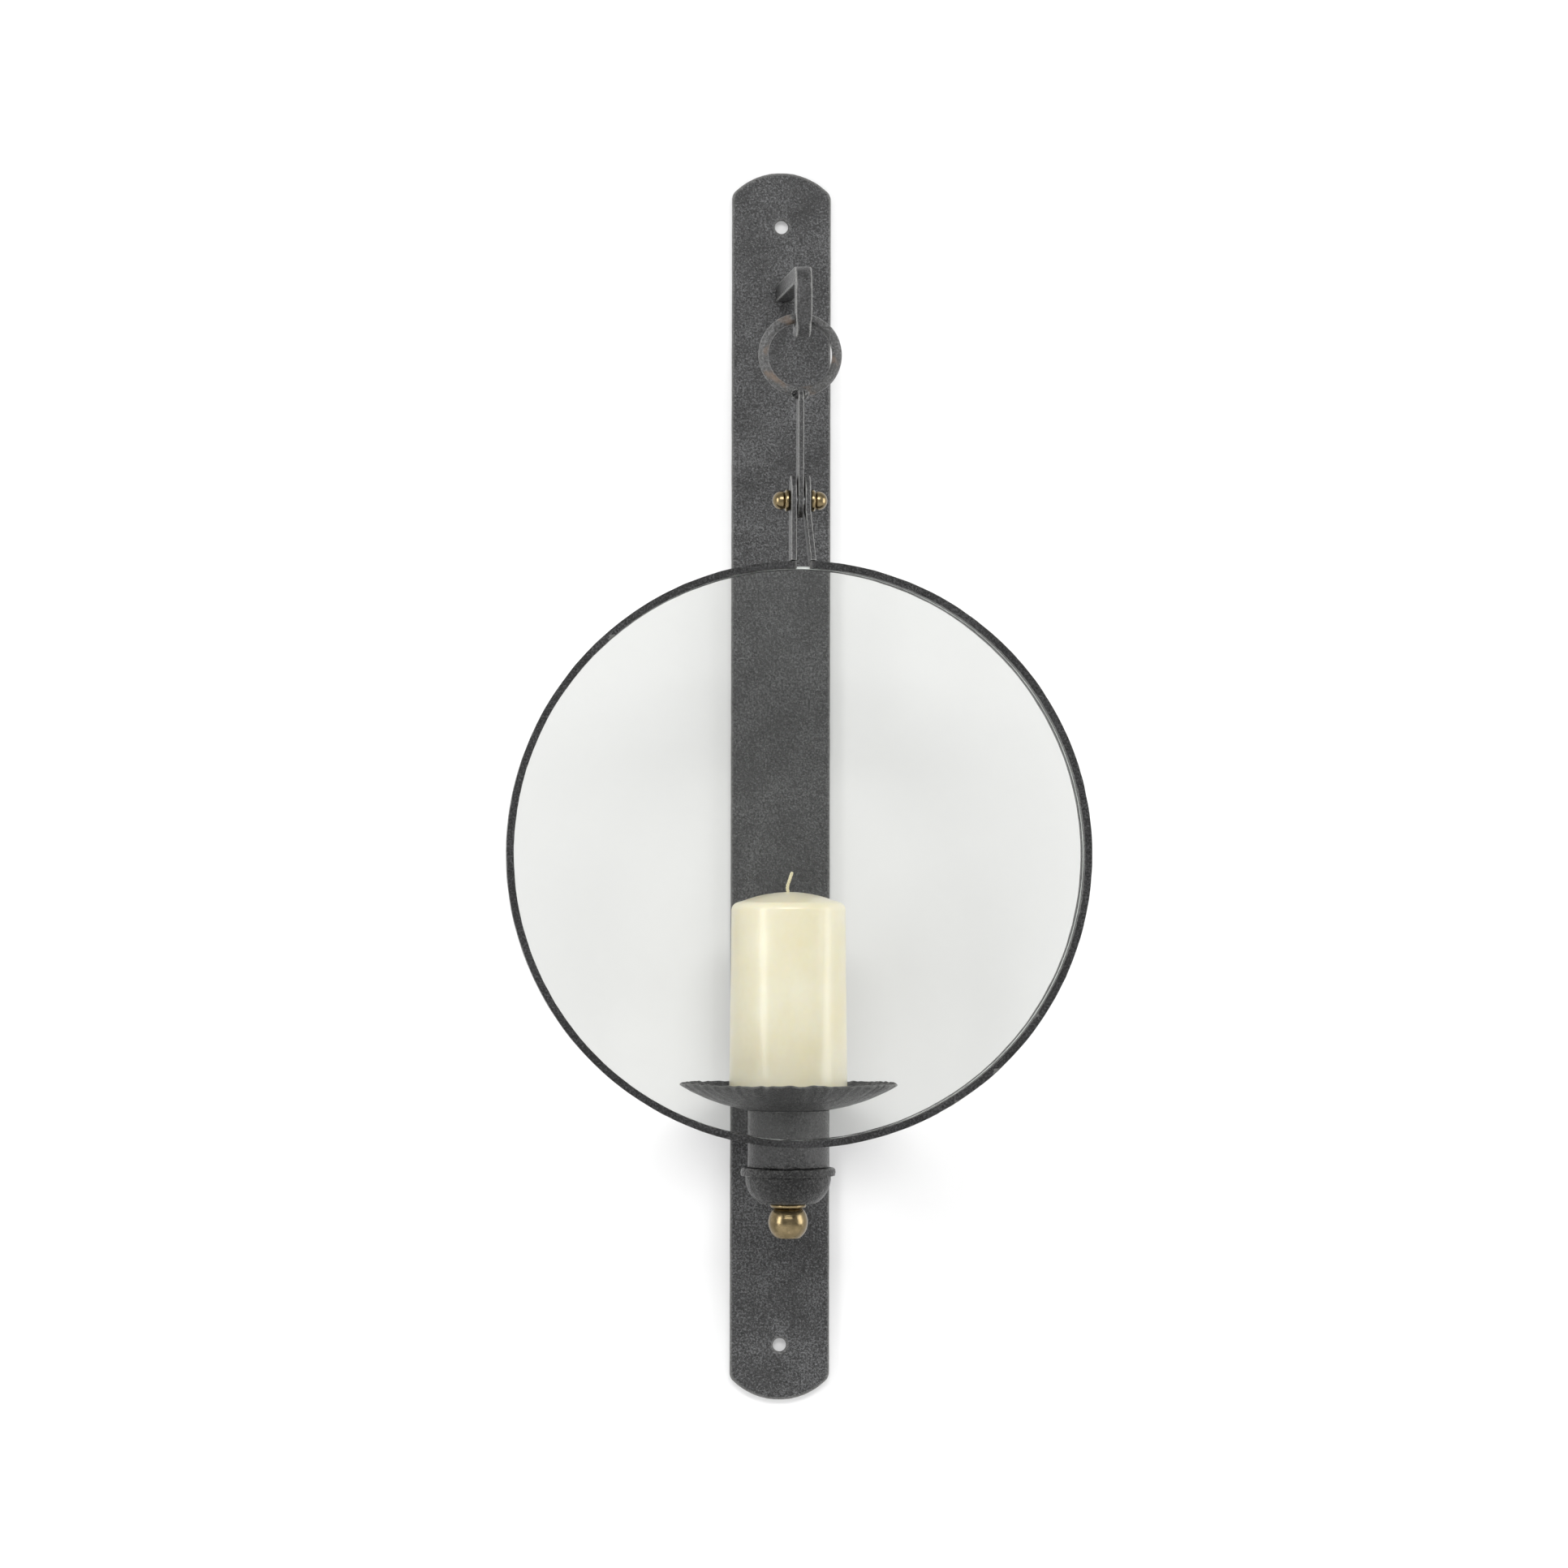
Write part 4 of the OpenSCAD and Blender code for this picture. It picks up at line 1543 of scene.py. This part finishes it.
@dataclass
class PivotBolt(SubAssembly):
    """The bolt through the ears, with a brass collar and a dome nut at each end."""

    bolt_room: float = 3.4 * MM

    def build(self) -> None:
        """Makes both ends and dresses the bolt."""
        self.dress("pivot_bolt", STEEL)
        for side, spin in (("left", Spin.LEFT), ("right", Spin.RIGHT)):
            self.collar(side, spin)
            self.dome(side, spin)

    def seat(self, node: str, spin: Spin) -> tuple[Vector, Extent]:
        """Finds the end of a turned piece that faces the ear.

        Args:
            node: The CAD node.
            spin: Which way its axis points.

        Returns:
            The middle of that end, and the node's box.
        """
        box = Extent.of(node)
        x = box.low.x if spin is Spin.RIGHT else box.high.x
        return Vector((x, box.middle.y, box.middle.z)), box

    def collar(self, side: str, spin: Spin) -> None:
        """Makes one collar: a flange with a rounded rim and a step down to the nut.

        Args:
            side: Left or right.
            spin: Which way its axis points.
        """
        node = f"{side}_collar"
        centre, box = self.seat(node, spin)
        outer = box.size.z / 2
        long = box.size.x
        hole = ROD_HOLE
        points = outline([
            Corner(hole, 0), Corner(outer - 0.5 * MM, 0, 0.3 * MM), Corner(outer, 0.35 * long, 0.6 * MM),
            Corner(outer, 0.75 * long, 0.6 * MM), Corner(outer - 0.9 * MM, long, 0.5 * MM),
            Corner(hole, long),
        ], 0.6 * MM, closed=True)
        piece = lathe(f"{node}_turned", points, centre, spin, closed=True, turns=80)
        self.fit(piece, node, Body.HOOP, Slot.BRASS, BRASS)

    def dome(self, side: str, spin: Spin) -> None:
        """Makes one dome nut: a short waist and a round end.

        Args:
            side: Left or right.
            spin: Which way its axis points.
        """
        node = f"{side}_dome_nut"
        centre, box = self.seat(node, spin)
        radius = box.size.z / 2
        long = box.size.x
        hole = ROD_HOLE
        blind = self.bolt_room
        cap = arc((0, long - radius), radius, 0, 90, 18)
        points = [(0, blind), (hole, blind), (hole, 0)]
        points += outline([
            Corner(hole + 0.1 * MM, 0), Corner(radius - 0.7 * MM, 0, 0.3 * MM),
            Corner(radius - 0.5 * MM, 0.5 * MM, 0.3 * MM), Corner(radius, 1.0 * MM, 0.3 * MM),
            Corner(radius, long - radius),
        ], 0.6 * MM)
        piece = lathe(f"{node}_turned", points + cap[1:], centre, spin, turns=80)
        self.fit(piece, node, Body.HOOP, Slot.BRASS, BRASS)


# ---------------------------------------------------------------- studio


@dataclass(frozen=True)
class Softbox:
    """A soft lamp and what it points at."""

    name: str
    spot: Vector
    aim: Vector
    width: float
    height: float
    watts: float

    def hang(self) -> None:
        """Puts the lamp into the scene."""
        lamp = bpy.data.lights.new(self.name, "AREA")
        lamp.shape = "RECTANGLE"
        lamp.size = self.width
        lamp.size_y = self.height
        lamp.energy = self.watts
        held = bpy.data.objects.new(self.name, lamp)
        held.location = self.spot
        held.rotation_euler = (self.aim - self.spot).to_track_quat("-Z", "Y").to_euler()
        bpy.context.scene.collection.objects.link(held)
        LOG.info("lamp %s", self.name)


@dataclass
class Studio:
    """Pale wall and floor, soft lamps and the camera."""

    wall_gap: float = 1 * MM
    floor_z: float = -1.1
    reach: float = 4.0
    camera_spot: Vector = Vector((-0.2247, -3.1217, -0.0889))
    camera_aim: Vector = Vector((0.0024, 0.0, 0.0003))
    lens: float = 119.1
    sensor: float = 36.0
    near: float = 0.01
    camera_roll: float = math.radians(0.106)
    ambient: float = 0.60

    def build(self) -> None:
        """Sets the whole studio up."""
        self.sheet("studio_wall", self.wall_corners(), WALL_PAINT)
        self.sheet("studio_floor", self.floor_corners(), FLOOR_PAINT)
        self.lamps()
        self.world()
        self.camera()
        bpy.context.scene.view_settings.view_transform = "Standard"

    def wall_corners(self) -> list[Vector]:
        """Corners of the wall, just behind the plate, facing the room.

        Returns:
            The four corners in order.
        """
        y = self.wall_gap
        return [
            Vector((-self.reach, y, self.floor_z)), Vector((self.reach, y, self.floor_z)),
            Vector((self.reach, y, self.reach)), Vector((-self.reach, y, self.reach)),
        ]

    def floor_corners(self) -> list[Vector]:
        """Corners of the floor, well below the sconce.

        Returns:
            The four corners in order.
        """
        return [
            Vector((-self.reach, -self.reach, self.floor_z)), Vector((self.reach, -self.reach, self.floor_z)),
            Vector((self.reach, self.wall_gap, self.floor_z)),
            Vector((-self.reach, self.wall_gap, self.floor_z)),
        ]

    def sheet(self, name: str, corners: Sequence[Vector], paint: Finish) -> None:
        """Makes one flat surface of the studio.

        Args:
            name: Its name.
            corners: Its four corners in order.
            paint: Its finish.
        """
        mesh = bpy.data.meshes.new(name)
        mesh.from_pydata(corners, [], [(0, 1, 2, 3)])
        piece = bpy.data.objects.new(name, mesh)
        bpy.context.scene.collection.objects.link(piece)
        mesh.materials.append(paint.material())
        LOG.info("%s is staged", name)

    def lamps(self) -> None:
        """Hangs a lamp at each side and a broad one above the front."""
        middle = Vector((0, -0.08, 0))
        for lamp in (
            Softbox("left_box", Vector((-1.95, -1.35, 0.2)), middle, width=0.75, height=1.6, watts=30),
            Softbox("right_box", Vector((2.2, -0.7, 0.2)), middle, width=1.2, height=1.7, watts=36),
            Softbox("front_top_box", Vector((-0.1, -3.0, 1.6)), middle, width=2.4, height=0.9, watts=88),
        ):
            lamp.hang()

    def world(self) -> None:
        """Fills the room with even white light."""
        room = bpy.data.worlds.new("room")
        room.use_nodes = True
        glow = room.node_tree.nodes["Background"]
        glow.inputs["Color"].default_value = (1.0, 1.0, 1.0, 1.0)
        glow.inputs["Strength"].default_value = self.ambient
        bpy.context.scene.world = room

    def camera(self) -> None:
        """Sets the camera up in front, a little to the left and low."""
        eye = bpy.data.cameras.new("camera")
        eye.lens = self.lens
        eye.sensor_width = self.sensor
        eye.clip_start = self.near
        held = bpy.data.objects.new("camera", eye)
        held.location = self.camera_spot
        look = (self.camera_aim - self.camera_spot).to_track_quat("-Z", "Y").to_matrix()
        held.rotation_euler = (look @ Matrix.Rotation(self.camera_roll, 3, "Z")).to_euler()
        bpy.context.scene.collection.objects.link(held)
        bpy.context.scene.camera = held


def main() -> None:
    """Builds the studio and every sub-assembly."""
    logging.basicConfig(level=logging.INFO, format="%(name)s: %(message)s")
    Studio().build()
    for part in (WallFrame(), Fixings(), CandleCup(), PillarCandle(), Hanger(), GlassHoop(), PivotBolt()):
        part.build()


if __name__ == "__main__":
    main()
